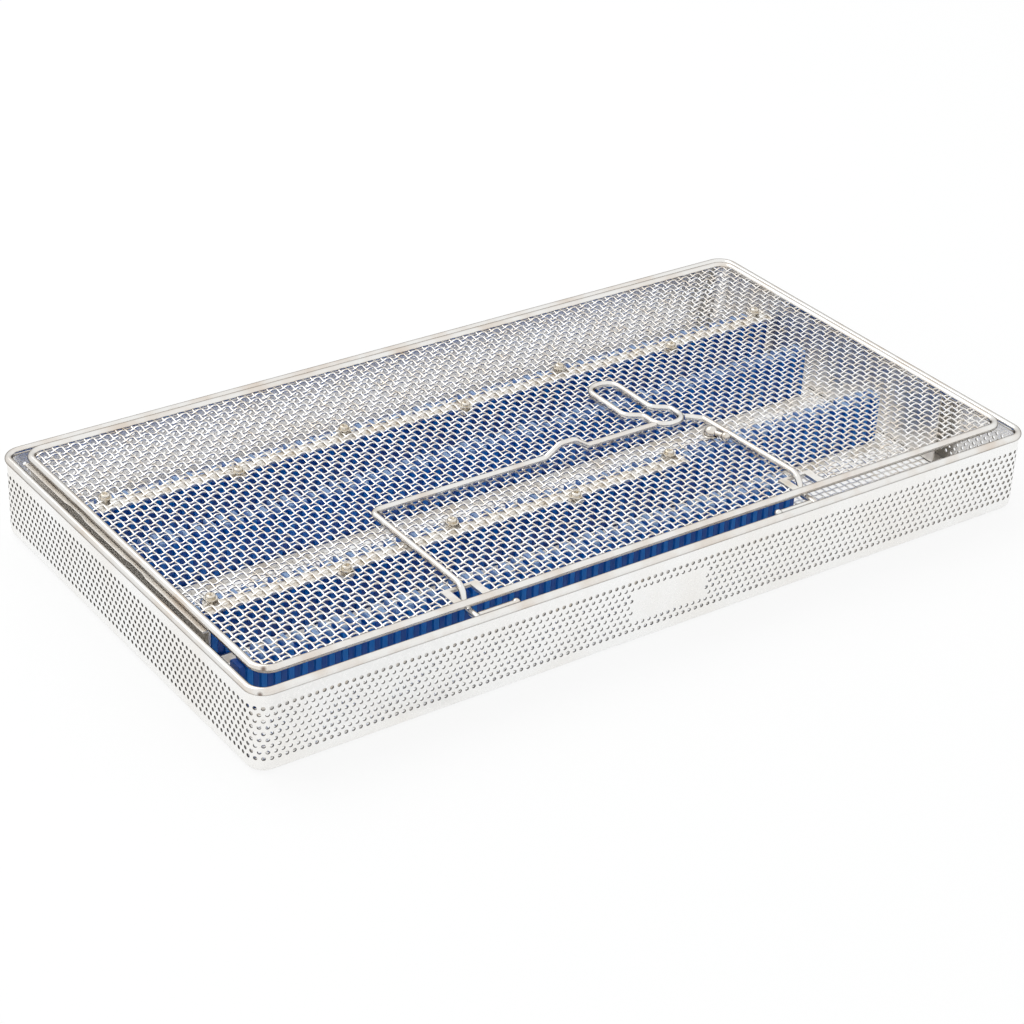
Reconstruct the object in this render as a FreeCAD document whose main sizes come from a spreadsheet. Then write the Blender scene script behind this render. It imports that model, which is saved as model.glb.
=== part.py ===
import FreeCAD, Part
import math
import os
import Sketcher
from FreeCAD import Vector

# Sterilization basket: a perforated sheet tray with a woven floor, four silicone
# comb strips that hold instruments upright, and a lift-off woven lid that a wire
# bail locks to the tray. All lengths are in millimetres. The frame has its origin
# at the middle of the resting plane, +X along the long side, +Z up, and the bail
# hinges at the front (-Y) edge of the lid.

doc = FreeCAD.newDocument("sterilization_basket")
sheet = doc.addObject("Spreadsheet::Sheet", "dimensions")

SIZES = [
    ("tray_length", 483.7, "outside of the perforated walls"),
    ("tray_width", 262.6, "outside of the perforated walls"),
    ("tray_corner_radius", 14.4, "outside, seen from above"),
    ("sheet_thickness", 0.8, "perforated steel sheet"),
    ("foot_radius", 4.0, "rounded bottom edge"),
    ("flange_width", 5.0, "turned-in edge that carries the floor"),
    ("rim_middle_height", 44.9, "middle of the rim bead above the table"),
    ("rim_diameter", 4.1, "bead round the top edge"),
    ("rim_inset", 1.0, "middle of the bead in from the wall's outer face"),
    ("hole_band_bottom", 7.0, "lowest edge of the perforated band"),
    ("hole_band_top", 37.3, "highest edge of the perforated band"),
    ("hole_pitch", 20.0, "drawn coarse: one hole stands for about thirty"),
    ("hole_across", 13.6, "corner to corner of a diamond hole"),
    ("label_width", 47.0, "bare field in the front wall"),
    ("label_height", 19.0, "bare field in the front wall"),
    ("label_offset", -3.3, "middle of the field from the middle of the wall"),
    ("net_thickness", 1.6, "woven wire mesh, two wires deep"),
    ("lid_gap_pitch", 32.2, "drawn coarse: seven meshes of the real weave"),
    ("lid_bar_width", 6.6, "bar between two gaps of the lid net"),
    ("floor_gap_pitch", 41.4, "drawn coarse: nine meshes of the real weave"),
    ("floor_bar_width", 8.5, "bar between two gaps of the floor net"),
    ("net_margin", 1.0, "net left between a gap and an opening beside it"),
    ("lid_end_room", 9.2, "middle of the frame wire in from an end wall's outer face"),
    ("lid_side_room", 11.45, "middle of the frame wire in from a long wall's outer face"),
    ("lid_length", "=tray_length - 2 * lid_end_room", "between the middles of the frame wire"),
    ("lid_width", "=tray_width - 2 * lid_side_room", "between the middles of the frame wire"),
    ("lid_corner_radius", 9.0, "middle of the frame wire"),
    ("lid_wire_diameter", 4.2, "frame wire"),
    ("lid_middle_height", 48.5, "middle of the frame wire above the table"),
    ("weld_gap", 0.1, "between curved faces that are welded together"),
    ("seat_gap", 0.3, "between pieces that rest on or run past each other"),
    ("plate_thickness", 1.0, "side plates that carry the lid"),
    ("plate_front_room", 57.9, "front end of a side plate from the front wall's outer face"),
    ("plate_back_room", 17.7, "back end of a side plate from the back wall's outer face"),
    ("plate_length", "=tray_width - plate_front_room - plate_back_room", "side plates"),
    ("plate_foot_width", 7.0, "foot flange of a side plate"),
    ("plate_offset", "=(plate_front_room - plate_back_room) / 2", "plate's middle behind the tray's"),
    ("comb_width", 11.0, "silicone strip across"),
    ("comb_top_height", 36.0, "top of the fingers above the table"),
    ("comb_start", 14.0, "left end of the strips from the left wall's outer face"),
    ("comb_end_room", 33.7, "right end of the long strips from the right wall's outer face"),
    ("short_comb_end_room", 133.7, "right end of the front strip from the right wall"),
    ("comb_length", "=tray_length - comb_start - comb_end_room", "long strips"),
    ("short_comb_length", "=tray_length - comb_start - short_comb_end_room", "front strip"),
    ("comb_slot_pitch", 21.0, "drawn coarse: six fingers of the real strip"),
    ("comb_slot_width", 8.4, "gap between fingers"),
    ("comb_slot_depth", 7.0, "gap between fingers"),
    ("comb_1_from_front", 205.5, "middle of the strip from the front wall's outer face"),
    ("comb_2_from_front", 158.5, "middle of the strip from the front wall's outer face"),
    ("comb_3_from_front", 94.0, "middle of the strip from the front wall's outer face"),
    ("comb_4_from_front", 46.5, "middle of the strip from the front wall's outer face"),
    ("rail_sheet", 1.0, "channel under a comb strip"),
    ("rail_height", 5.0, "channel under a comb strip"),
    ("rail_clearance", 0.2, "strip in its channel, each side"),
    ("slot_frame_length", 21.0, "strip frame round a bail slot, along X"),
    ("slot_opening_length", 12.0, "opening for the bail's leg, along X"),
    ("slot_opening_depth", 10.4, "opening for the bail's leg, behind the frame wire"),
    ("slot_strip_width", 2.0, "strip at the back of the slot"),
    ("hold_strip_width", 8.0, "steel strip under the lid net"),
    ("hold_strip_thickness", 1.0, "steel strip under the lid net"),
    ("hold_ear_diameter", 9.0, "round ears of the strip at its screws"),
    ("hold_ear_offset", 5.4, "screws stand in a zigzag about the strip's middle"),
    ("back_strip_from_front", 182.4, "middle of the rear strip from the front wall"),
    ("front_strip_from_front", 71.9, "middle of the front strip from the front wall"),
    ("back_screw_start", 22.2, "first rear screw from the left wall"),
    ("back_screw_end", 37.9, "last rear screw from the right wall"),
    ("front_screw_start", 20.6, "first front screw from the left wall"),
    ("front_screw_end", 187.5, "last front screw from the right wall"),
    ("strip_end", 6.5, "strip beyond its first and last screw"),
    ("screw_diameter", 3.0, "shank"),
    ("screw_hole_clearance", 0.1, "hole over shank, each side"),
    ("screw_head_diameter", 5.6, "pan head"),
    ("screw_head_height", 1.9, "pan head"),
    ("screw_tip", 0.6, "shank past the nut"),
    ("washer_diameter", 7.6, "under the head"),
    ("washer_thickness", 0.7, "under the head"),
    ("nut_across_corners", 6.2, "hexagon nut, corner to corner"),
    ("nut_height", 2.2, "hexagon nut"),
    ("bail_wire_diameter", 3.5, "bent wire of the bail"),
    ("bail_bend_radius", 3.0, "middle of the wire"),
    ("bail_left_from_left", 127.4, "left leg from the left wall's outer face"),
    ("bail_right_from_left", 334.4, "right leg at its bend from the left wall's outer face"),
    ("bail_leg_splay", 4.2, "right leg drifts outwards towards the hinge"),
    ("bail_foot_slant", 2.9, "both legs drift left below the hinge"),
    ("bail_reach", 92.6, "crossbar behind the hinge axis"),
    ("bail_drop_start", 10.6, "leg leaves the net this far behind the hinge axis"),
    ("bail_drop_end", 5.4, "leg reaches its lowest level this far behind the axis"),
    ("bail_drop", 4.7, "lowest level of the leg below the hinge axis"),
    ("bail_hump_rise", 6.0, "finger hump in the crossbar"),
    ("bail_hump_base", 27.0, "finger hump along the crossbar"),
    ("bail_hump_crest", 9.0, "level top of the finger hump"),
    ("bail_hump_from_left", 248.5, "middle of the hump from the left wall's outer face"),
    ("ring_width", 18.0, "finger ring across, middles of the wire"),
    ("ring_left_from_left", 299.4, "rear left strand from the left wall"),
    ("ring_jog", 8.9, "front half of the ring stands this far to the right"),
    ("ring_front_ahead", 3.6, "front end of the ring in front of the crossbar"),
    ("ring_front", "=bail_reach - ring_front_ahead", "front end of the ring behind the axis"),
    ("ring_jog_behind", 11.0, "jog of the ring behind the crossbar"),
    ("ring_jog_start", "=bail_reach + ring_jog_behind", "jog behind the hinge axis"),
    ("ring_jog_length", 6.0, "jog along Y"),
    ("ring_back", 145.3, "rear end of the ring behind the hinge axis"),
    ("ring_end_radius", 8.2, "round ends, middle of the wire"),
    ("ring_jog_radius", 5.0, "bends of the jog, middle of the wire"),
    ("leg_join_ahead", 1.0, "right leg leaves the ring this far in front of the crossbar"),
    ("leg_bend_ahead", 8.1, "right leg turns this far in front of the crossbar"),
    ("leg_join_behind", "=bail_reach - leg_join_ahead", "leg leaves the ring behind the axis"),
    ("leg_bend_behind", "=bail_reach - leg_bend_ahead", "right leg turns behind the axis"),
    ("foot_pin_diameter", 2.6, "pin across the end of a leg"),
    ("foot_pin_length", 23.5, "middle of the leg to the middle of the bead"),
    ("foot_pin_ahead", 5.4, "pin in front of the hinge axis"),
    ("foot_bead_diameter", 4.6, "round end of the pin"),
    ("catch_from_left", 328.0, "middle of the catch's base from the left wall"),
    ("catch_behind", 70.4, "middle of the catch's base behind the hinge axis"),
    ("catch_base_diameter", 8.4, "flat base"),
    ("catch_base_thickness", 1.0, "flat base"),
    ("catch_arm_diameter", 3.2, "arm"),
    ("catch_arm_length", 8.6, "base to the middle of the ball"),
    ("catch_ball_diameter", 4.6, "ball that bears on the leg"),
    ("cut_overrun", 2.0, "how far cutting tools pass the faces they cut"),
]

for row, (alias, number, note) in enumerate(SIZES, start=1):
    sheet.set(f"A{row}", alias)
    sheet.set(f"B{row}", str(number))
    sheet.setAlias(f"B{row}", alias)
    sheet.set(f"C{row}", note)
doc.recompute()


def size(alias):
    """The number in the sheet's cell with this alias."""
    return float(sheet.get(alias))


# Places that several pieces share, all worked out from the sheet.

HALF_LENGTH = size("tray_length") / 2
HALF_WIDTH = size("tray_width") / 2
RIM_RADIUS = size("rim_diameter") / 2
WALL_TOP = size("rim_middle_height") - RIM_RADIUS
LID_RADIUS = size("lid_wire_diameter") / 2
LID_HEIGHT = size("lid_middle_height")
NET_TOP = LID_HEIGHT + size("net_thickness") / 2
NET_BOTTOM = LID_HEIGHT - size("net_thickness") / 2
FLOOR_TOP = size("sheet_thickness") + size("net_thickness")
HINGE_Y = -size("lid_width") / 2
BAIL_RADIUS = size("bail_wire_diameter") / 2
BAIL_HEIGHT = NET_TOP + size("seat_gap") + BAIL_RADIUS
SHANK_HOLE_RADIUS = size("screw_diameter") / 2 + size("screw_hole_clearance")

# Round wires and turned pieces are drawn with flats, which keeps the mesh light.

WIRE_SIDES = 8
HEAD_SIDES = 12
BALL_BANDS = 4
BALL_END_ANGLE = math.pi / 8
TOUCHING = 1e-6


def from_left(alias):
    """X of a place that the sheet measures from the left wall's outer face."""
    return size(alias) - HALF_LENGTH


def from_front(alias):
    """Y of a place that the sheet measures from the front wall's outer face."""
    return size(alias) - HALF_WIDTH


# Small helpers for bodies, sketches and bent wire.

def new_body(name):
    body = doc.addObject("PartDesign::Body", name)
    body.Label = name
    return body


def new_sketch(body, name, plane, offset=None):
    """A sketch on one of the body's own origin planes, moved along its normal."""
    sketch = body.newObject("Sketcher::SketchObject", name)
    for feature in body.Origin.OriginFeatures:
        if feature.Role == plane:
            sketch.AttachmentSupport = (feature, [""])
    sketch.MapMode = "FlatFace"
    if offset is not None:
        sketch.setExpression("AttachmentOffset.Base.z", offset)
    return sketch


def rounded_rectangle(sketch, length, width, radius):
    """A centred rectangle with round corners, its sizes bound to expressions."""
    half_x = float(sketch.evalExpression(length)) / 2
    half_y = float(sketch.evalExpression(width)) / 2
    r = float(sketch.evalExpression(radius))
    line = [
        Part.LineSegment(Vector(r - half_x, -half_y, 0), Vector(half_x - r, -half_y, 0)),
        Part.LineSegment(Vector(half_x, r - half_y, 0), Vector(half_x, half_y - r, 0)),
        Part.LineSegment(Vector(half_x - r, half_y, 0), Vector(r - half_x, half_y, 0)),
        Part.LineSegment(Vector(-half_x, half_y - r, 0), Vector(-half_x, r - half_y, 0)),
    ]
    centres = [
        Vector(half_x - r, r - half_y, 0),
        Vector(half_x - r, half_y - r, 0),
        Vector(r - half_x, half_y - r, 0),
        Vector(r - half_x, r - half_y, 0),
    ]
    quarter = math.pi / 2
    for i in range(4):
        circle = Part.Circle(centres[i], Vector(0, 0, 1), r)
        sketch.addGeometry(line[i], False)
        sketch.addGeometry(Part.ArcOfCircle(circle, (i - 1) * quarter, i * quarter), False)
    for i in range(4):
        straight, arc, following = 2 * i, 2 * i + 1, (2 * i + 2) % 8
        sketch.addConstraint(Sketcher.Constraint("Tangent", straight, 2, arc, 1))
        sketch.addConstraint(Sketcher.Constraint("Tangent", arc, 2, following, 1))
        direction = "Horizontal" if i % 2 == 0 else "Vertical"
        sketch.addConstraint(Sketcher.Constraint(direction, straight))
        if i > 0:
            sketch.addConstraint(Sketcher.Constraint("Equal", 1, arc))
    bound = [
        (Sketcher.Constraint("DistanceY", 0, 1, -1, 1, half_y), f"({width}) / 2"),
        (Sketcher.Constraint("DistanceX", -1, 1, 2, 1, half_x), f"({length}) / 2"),
        (Sketcher.Constraint("DistanceY", -1, 1, 4, 1, half_y), f"({width}) / 2"),
        (Sketcher.Constraint("DistanceX", 6, 1, -1, 1, half_x), f"({length}) / 2"),
        (Sketcher.Constraint("Radius", 1, r), radius),
    ]
    for constraint, expression in bound:
        index = sketch.addConstraint(constraint)
        sketch.setExpression(f"Constraints[{index}]", expression)


def flat_sided_profile(sketch, x, y, diameter):
    """A regular polygon in a circle, one corner straight above its centre."""
    centre = Vector(float(sketch.evalExpression(x)), float(sketch.evalExpression(y)), 0)
    radius = float(sketch.evalExpression(diameter)) / 2
    corners = []
    for k in range(WIRE_SIDES):
        angle = 2 * math.pi * k / WIRE_SIDES
        corners.append((centre.x + radius * math.sin(angle), centre.y + radius * math.cos(angle)))
    closed_outline(sketch, corners)
    guide = sketch.addGeometry(Part.Circle(centre, Vector(0, 0, 1), radius), True)
    for k in range(WIRE_SIDES):
        sketch.addConstraint(Sketcher.Constraint("PointOnObject", k, 1, guide))
        if k > 0:
            sketch.addConstraint(Sketcher.Constraint("Equal", 0, k))
    sketch.addConstraint(Sketcher.Constraint("Vertical", 0, 1, guide, 3))
    bound = [
        (Sketcher.Constraint("DistanceX", -1, 1, guide, 3, centre.x), x),
        (Sketcher.Constraint("DistanceY", -1, 1, guide, 3, centre.y), y),
        (Sketcher.Constraint("Diameter", guide, 2 * radius), diameter),
    ]
    for constraint, expression in bound:
        number = sketch.addConstraint(constraint)
        sketch.setExpression(f"Constraints[{number}]", expression)


def closed_outline(sketch, points):
    """Straight lines through the points and back to the first."""
    corners = [Vector(x, y, 0) for x, y in points]
    following = corners[1:] + corners[:1]
    lines = [Part.LineSegment(a, b) for a, b in zip(corners, following)]
    sketch.addGeometry(lines, False)
    for i in range(len(lines)):
        nxt = (i + 1) % len(lines)
        sketch.addConstraint(Sketcher.Constraint("Coincident", i, 2, nxt, 1))


def feature(body, kind, name, sketch=None, **settings):
    """Adds a PartDesign feature; settings that are text become expressions."""
    item = body.newObject(kind, name)
    if sketch is not None:
        item.Profile = sketch
    for key, setting in settings.items():
        if isinstance(setting, str) and key in ("Length", "Radius", "Offset"):
            item.setExpression(key, setting)
        else:
            setattr(item, key, setting)
    doc.recompute()
    return item


def edges_at_height(shape, height):
    """Names of the edges that lie level at this height."""
    names = []
    for i, edge in enumerate(shape.Edges, start=1):
        box = edge.BoundBox
        if abs(box.ZMin - height) < TOUCHING and abs(box.ZMax - height) < TOUCHING:
            names.append(f"Edge{i}")
    return names


def rounded_path(points, radii):
    """A wire of straight runs, each corner rounded with its own arc."""
    edges = []
    here = points[0]
    for corner, after, radius in zip(points[1:-1], points[2:], radii):
        into = (corner - here).normalize()
        out = (after - corner).normalize()
        turn = into.getAngle(out)
        cut = radius * math.tan(turn / 2)
        start = corner - into * cut
        end = corner + out * cut
        bisector = (out - into).normalize()
        middle = corner + bisector * (radius / math.cos(turn / 2) - radius)
        edges.append(Part.LineSegment(here, start).toShape())
        edges.append(Part.Arc(start, middle, end).toShape())
        here = end
    edges.append(Part.LineSegment(here, points[-1]).toShape())
    return Part.Wire(edges)


def polygon_at(place, along, radius, sides):
    """Corners of a regular polygon square to a direction, one as high as it can be."""
    side = along.cross(Vector(0, 0, 1)).normalize()
    up = side.cross(along).normalize()
    corners = []
    for k in range(sides):
        angle = 2 * math.pi * k / sides
        corners.append(place + up * (radius * math.cos(angle)) + side * (radius * math.sin(angle)))
    return corners


def flat_face(corners):
    return Part.Face(Part.makePolygon(corners + corners[:1]))


def wire_solid(path, diameter):
    """A wire of this diameter along the path."""
    first = path.Edges[0]
    start = first.valueAt(first.FirstParameter)
    along = first.tangentAt(first.FirstParameter)
    corners = polygon_at(start, along, diameter / 2, WIRE_SIDES)
    section = Part.makePolygon(corners + corners[:1])
    return path.makePipeShell([section], True, False)


def upright_prism(x, y, bottom, radius, sides, height):
    corners = []
    for k in range(sides):
        angle = 2 * math.pi * k / sides
        corners.append(Vector(x + radius * math.cos(angle), y + radius * math.sin(angle), bottom))
    return flat_face(corners).extrude(Vector(0, 0, height))


def shape_node(name, shape, placement=FreeCAD.Placement()):
    """A sub-part whose shape is made with Part's own functions."""
    node = doc.addObject("Part::Feature", name)
    node.Label = name
    node.Shape = shape
    node.Placement = placement
    return node


NODES = []

# The tray's sheet: walls with a turned-in bottom edge, then the perforation.

D = "dimensions."


def make_tray_wall():
    """The outside block, less the inside space, less the perforation."""
    wall_top = f"{D}rim_middle_height - {D}rim_diameter / 2"
    block = tray_sized_block("tray_block", "0", wall_top, "0", D + "tray_corner_radius")
    edge_rounding(block, D + "foot_radius")
    space = tray_sized_block(
        "tray_space",
        D + "sheet_thickness",
        f"{wall_top} + {D}cut_overrun",
        D + "sheet_thickness",
        f"{D}tray_corner_radius - {D}sheet_thickness",
    )
    inner_bevel(space)
    window = new_sketch(space, "floor_window", "XY_Plane", f"-{D}cut_overrun")
    border = f"2 * ({D}foot_radius + {D}flange_width)"
    rounded_rectangle(
        window,
        f"{D}tray_length - {border}",
        f"{D}tray_width - {border}",
        f"{D}tray_corner_radius - {D}foot_radius - {D}flange_width",
    )
    through = f"{D}foot_radius + 2 * {D}cut_overrun"
    feature(space, "PartDesign::Pad", "floor_opening", window, Length=through)

    shell = doc.addObject("Part::Cut", "tray_shell")
    shell.Base = block
    shell.Tool = space
    holes = doc.addObject("Part::Feature", "perforation")
    holes.Shape = Part.makeCompound(perforation())
    wall = doc.addObject("Part::Cut", "tray_wall")
    wall.Label = "tray_wall"
    wall.Base = shell
    wall.Tool = holes
    wall.Refine = False
    doc.recompute()
    return wall


def tray_sized_block(name, bottom, top, inset, corner):
    """A block of the tray's outline, moved inwards."""
    body = new_body(name)
    outline = new_sketch(body, name + "_outline", "XY_Plane", bottom)
    rounded_rectangle(
        outline, f"{D}tray_length - 2 * {inset}", f"{D}tray_width - 2 * {inset}", corner
    )
    feature(body, "PartDesign::Pad", name + "_pad", outline, Length=f"{top} - {bottom}")
    return body


def edge_rounding(body, radius):
    """Rounds the block's lowest edges."""
    pad = body.Tip
    rounding = body.newObject("PartDesign::Fillet", body.Label + "_rounding")
    rounding.Base = (pad, edges_at_height(pad.Shape, pad.Shape.BoundBox.ZMin))
    rounding.setExpression("Radius", radius)
    doc.recompute()


def inner_bevel(body):
    """A bevel that touches the inside of the foot's bend, flat to stay light."""
    pad = body.Tip
    bevel = body.newObject("PartDesign::Chamfer", body.Label + "_bevel")
    bevel.Base = (pad, edges_at_height(pad.Shape, pad.Shape.BoundBox.ZMin))
    bevel.setExpression("Size", f"({D}foot_radius - {D}sheet_thickness) * (2 - sqrt(2))")
    doc.recompute()


def perforation():
    """Diamond prisms in two staggered rows through all four walls."""
    half = size("hole_across") / 2
    bottom = size("hole_band_bottom") + half
    top = size("hole_band_top") - half
    rows = [bottom, top]
    reach = size("sheet_thickness") + 2 * size("cut_overrun")
    pitch = size("hole_pitch")
    prisms = []
    walls = [
        (HALF_LENGTH, Vector(1, 0, 0), Vector(0, -HALF_WIDTH, 0), Vector(0, 1, 0), True),
        (HALF_LENGTH, Vector(1, 0, 0), Vector(0, HALF_WIDTH, 0), Vector(0, -1, 0), False),
        (HALF_WIDTH, Vector(0, 1, 0), Vector(-HALF_LENGTH, 0, 0), Vector(1, 0, 0), False),
        (HALF_WIDTH, Vector(0, 1, 0), Vector(HALF_LENGTH, 0, 0), Vector(-1, 0, 0), False),
    ]
    for half_run, along, face, inward, has_label in walls:
        free = 2 * (half_run - size("tray_corner_radius")) - 2 * half
        count = int(free / pitch)
        for number, height in enumerate(rows):
            places = count if number % 2 else count + 1
            for k in range(places):
                at = (k - (places - 1) / 2) * pitch
                if has_label and in_label(at, height, half):
                    continue
                start = face - inward * size("cut_overrun") + along * at
                centre = start + Vector(0, 0, height)
                corners = [
                    centre + along * half,
                    centre + Vector(0, 0, half),
                    centre - along * half,
                    centre - Vector(0, 0, half),
                ]
                prisms.append(flat_face(corners).extrude(inward * reach))
    return prisms


def in_label(at, height, half):
    """True where a hole would reach into the bare label field."""
    middle = (size("hole_band_bottom") + size("hole_band_top")) / 2
    beside = abs(at - size("label_offset")) < size("label_width") / 2 + half / 2
    level = abs(height - middle) < size("label_height") / 2
    return beside and level


def make_bead(name, length, width, radius, height, diameter):
    """A closed bead or wire frame, swept along a rounded rectangle."""
    body = new_body(name)
    path = new_sketch(body, name + "_path", "XY_Plane", height)
    rounded_rectangle(path, length, width, radius)
    section = new_sketch(body, name + "_section", "YZ_Plane")
    flat_sided_profile(section, f"-({width}) / 2", height, diameter)
    pipe = body.newObject("PartDesign::AdditivePipe", name + "_sweep")
    pipe.Profile = section
    pipe.Spine = (path, [f"Edge{i}" for i in range(1, 9)])
    doc.recompute()
    return body


# Woven nets: one flat face with square gaps, given the depth of two wires.
# A rectangle is a tuple: its left, right, front and back.

def net_gaps(length, width, pitch, bar):
    """The square gaps of a net, in a centred grid."""
    columns = int((length - bar) / pitch)
    rows = int((width - bar) / pitch)
    half = (pitch - bar) / 2
    gaps = []
    for i in range(columns):
        for j in range(rows):
            x = (i - (columns - 1) / 2) * pitch
            y = (j - (rows - 1) / 2) * pitch
            gaps.append((x - half, x + half, y - half, y + half))
    return gaps


def net(outline, gaps, bottom):
    holes = []
    for left, right, front, back in gaps:
        corners = [
            Vector(left, front, bottom),
            Vector(left, back, bottom),
            Vector(right, back, bottom),
            Vector(right, front, bottom),
        ]
        holes.append(Part.makePolygon(corners + corners[:1]))
    face = Part.Face([outline] + holes)
    return face.extrude(Vector(0, 0, size("net_thickness")))


def net_outline(length, width, radius, height, notches=()):
    """A rounded rectangle whose front side goes round the notches."""
    x, y, r = length / 2, width / 2, radius
    diagonal = r * (1 - math.sqrt(0.5))
    bends = []
    for sx, sy in [(1, -1), (1, 1), (-1, 1), (-1, -1)]:
        on_side = Vector(sx * x, sy * (y - r), height)
        on_end = Vector(sx * (x - r), sy * y, height)
        middle = Vector(sx * (x - diagonal), sy * (y - diagonal), height)
        if sx * sy > 0:
            bends.append((on_side, middle, on_end))
        else:
            bends.append((on_end, middle, on_side))
    shapes = []
    for i, (start, middle, end) in enumerate(bends):
        shapes.append(Part.Arc(start, middle, end).toShape())
        stops = [end]
        if i == len(bends) - 1:
            for left, right, front, back in notches:
                stops += [Vector(left, -y, height), Vector(left, back, height)]
                stops += [Vector(right, back, height), Vector(right, -y, height)]
        stops.append(bends[(i + 1) % len(bends)][0])
        for k in range(len(stops) - 1):
            shapes.append(Part.LineSegment(stops[k], stops[k + 1]).toShape())
    return Part.Wire(shapes)


def make_tray_floor():
    inset = size("foot_radius") + size("weld_gap")
    length = size("tray_length") - 2 * inset
    width = size("tray_width") - 2 * inset
    bottom = size("sheet_thickness")
    outline = net_outline(length, width, size("tray_corner_radius") - inset, bottom)
    gaps = net_gaps(length, width, size("floor_gap_pitch"), size("floor_bar_width"))
    return shape_node("tray_floor", net(outline, gaps, bottom))


def slot_centres():
    """X of the two bail slots: the legs pass through their middles."""
    left = from_left("bail_left_from_left")
    right = from_left("bail_right_from_left") + size("bail_leg_splay")
    return left, right


def meets(one, other):
    return one[0] < other[1] and other[0] < one[1] and one[2] < other[3] and other[2] < one[3]


def lies_in(one, other):
    return other[0] < one[0] and one[1] < other[1] and other[2] < one[2] and one[3] < other[3]


def area(rectangle):
    left, right, front, back = rectangle
    return (right - left) * (back - front)


def drawn_back(gap, other):
    """The gap with one side moved, so that net is left between it and the other."""
    if not meets(gap, other):
        return gap
    margin = size("net_margin")
    left, right, front, back = gap
    choices = [
        (other[1] + margin, right, front, back),
        (left, other[0] - margin, front, back),
        (left, right, other[3] + margin, back),
        (left, right, front, other[2] - margin),
    ]
    return max(choices, key=area)


def make_lid_mesh():
    """The lid's net. Its wires part round the screws and stop at the slots."""
    weld = size("weld_gap")
    inset = LID_RADIUS + weld
    length = size("lid_length") - 2 * inset
    width = size("lid_width") - 2 * inset
    notch_half = size("slot_frame_length") / 2 + weld
    notch_back = HINGE_Y + inset + size("slot_opening_depth") + size("slot_strip_width")
    notches = [(x - notch_half, x + notch_half, HINGE_Y, notch_back) for x in slot_centres()]
    radius = SHANK_HOLE_RADIUS
    openings = [(x - radius, x + radius, y - radius, y + radius) for x, y in screw_places()]
    gaps = net_gaps(length, width, size("lid_gap_pitch"), size("lid_bar_width"))
    parted = [one for one in openings if not any(lies_in(one, gap) for gap in gaps)]
    for one in notches + parted:
        gaps = [drawn_back(gap, one) for gap in gaps]
    outline = net_outline(length, width, size("lid_corner_radius") - inset, NET_BOTTOM, notches)
    return shape_node("lid_mesh", net(outline, gaps + parted, NET_BOTTOM))


def make_slot_frame(name, x):
    """A flat strip bent round three sides of a slot for the bail's leg."""
    body = new_body(name)
    bottom = f"{D}lid_middle_height - {D}net_thickness / 2"
    outline = new_sketch(body, name + "_outline", "XY_Plane", bottom)
    front = HINGE_Y + LID_RADIUS + size("weld_gap")
    inner_back = HINGE_Y + LID_RADIUS + size("slot_opening_depth")
    outer_back = inner_back + size("slot_strip_width")
    outer = size("slot_frame_length") / 2
    inner = size("slot_opening_length") / 2
    closed_outline(
        outline,
        [
            (x - outer, front),
            (x - inner, front),
            (x - inner, inner_back),
            (x + inner, inner_back),
            (x + inner, front),
            (x + outer, front),
            (x + outer, outer_back),
            (x - outer, outer_back),
        ],
    )
    feature(body, "PartDesign::Pad", name + "_strip", outline, Length=D + "net_thickness")
    return body


# The side plates stand on the floor and carry the lid's end bars.

def make_side_plate(name, side):
    body = new_body(name)
    profile = new_sketch(body, name + "_profile", "XZ_Plane")
    lid_bar = size("lid_length") / 2
    half = size("plate_thickness") / 2
    bar_bottom = LID_HEIGHT - LID_RADIUS
    top = bar_bottom - size("seat_gap")
    foot = lid_bar + half + size("plate_foot_width")
    points = [
        (lid_bar - half, FLOOR_TOP),
        (foot, FLOOR_TOP),
        (foot, FLOOR_TOP + 2 * half),
        (lid_bar + half, FLOOR_TOP + 2 * half),
        (lid_bar + half, top),
        (lid_bar - half, top),
    ]
    closed_outline(profile, [(side * x, z) for x, z in points])
    feature(body, "PartDesign::Pad", name + "_sheet", profile, Length=D + "plate_length", Midplane=True)
    body.Placement = FreeCAD.Placement(Vector(0, size("plate_offset"), 0), FreeCAD.Rotation())
    doc.recompute()
    return body


# Silicone comb strips, each in a steel channel on the floor.

def make_comb(number, length_alias):
    y = from_front(f"comb_{number}_from_front")
    start = from_left("comb_start")
    low = FLOOR_TOP + size("rail_sheet")
    body = new_body(f"comb_{number}")
    side = new_sketch(body, f"comb_{number}_side", "YZ_Plane")
    half = size("comb_width") / 2
    height = size("comb_top_height") - low
    closed_outline(side, [(-half, 0), (half, 0), (half, height), (-half, height)])
    feature(body, "PartDesign::Pad", f"comb_{number}_strip", side, Length=D + length_alias)
    slot = new_sketch(body, f"comb_{number}_slot", "XZ_Plane")
    pitch = size("comb_slot_pitch")
    first = (pitch - size("comb_slot_width")) / 2
    bottom = height - size("comb_slot_depth")
    last = first + size("comb_slot_width")
    top = height + size("cut_overrun")
    closed_outline(slot, [(first, bottom), (last, bottom), (last, top), (first, top)])
    width = f"{D}comb_width + {D}cut_overrun"
    cut = feature(body, "PartDesign::Pocket", f"comb_{number}_gap", slot, Length=width, Midplane=True)
    count = int(size(length_alias) / pitch)
    pattern = body.newObject("PartDesign::LinearPattern", f"comb_{number}_gaps")
    pattern.Originals = [cut]
    pattern.Direction = (slot, ["H_Axis"])
    pattern.Occurrences = count
    pattern.setExpression("Length", f"({count} - 1) * {D}comb_slot_pitch")
    body.Tip = pattern
    body.Placement = FreeCAD.Placement(Vector(start, y, low), FreeCAD.Rotation())
    doc.recompute()
    return body


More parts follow.
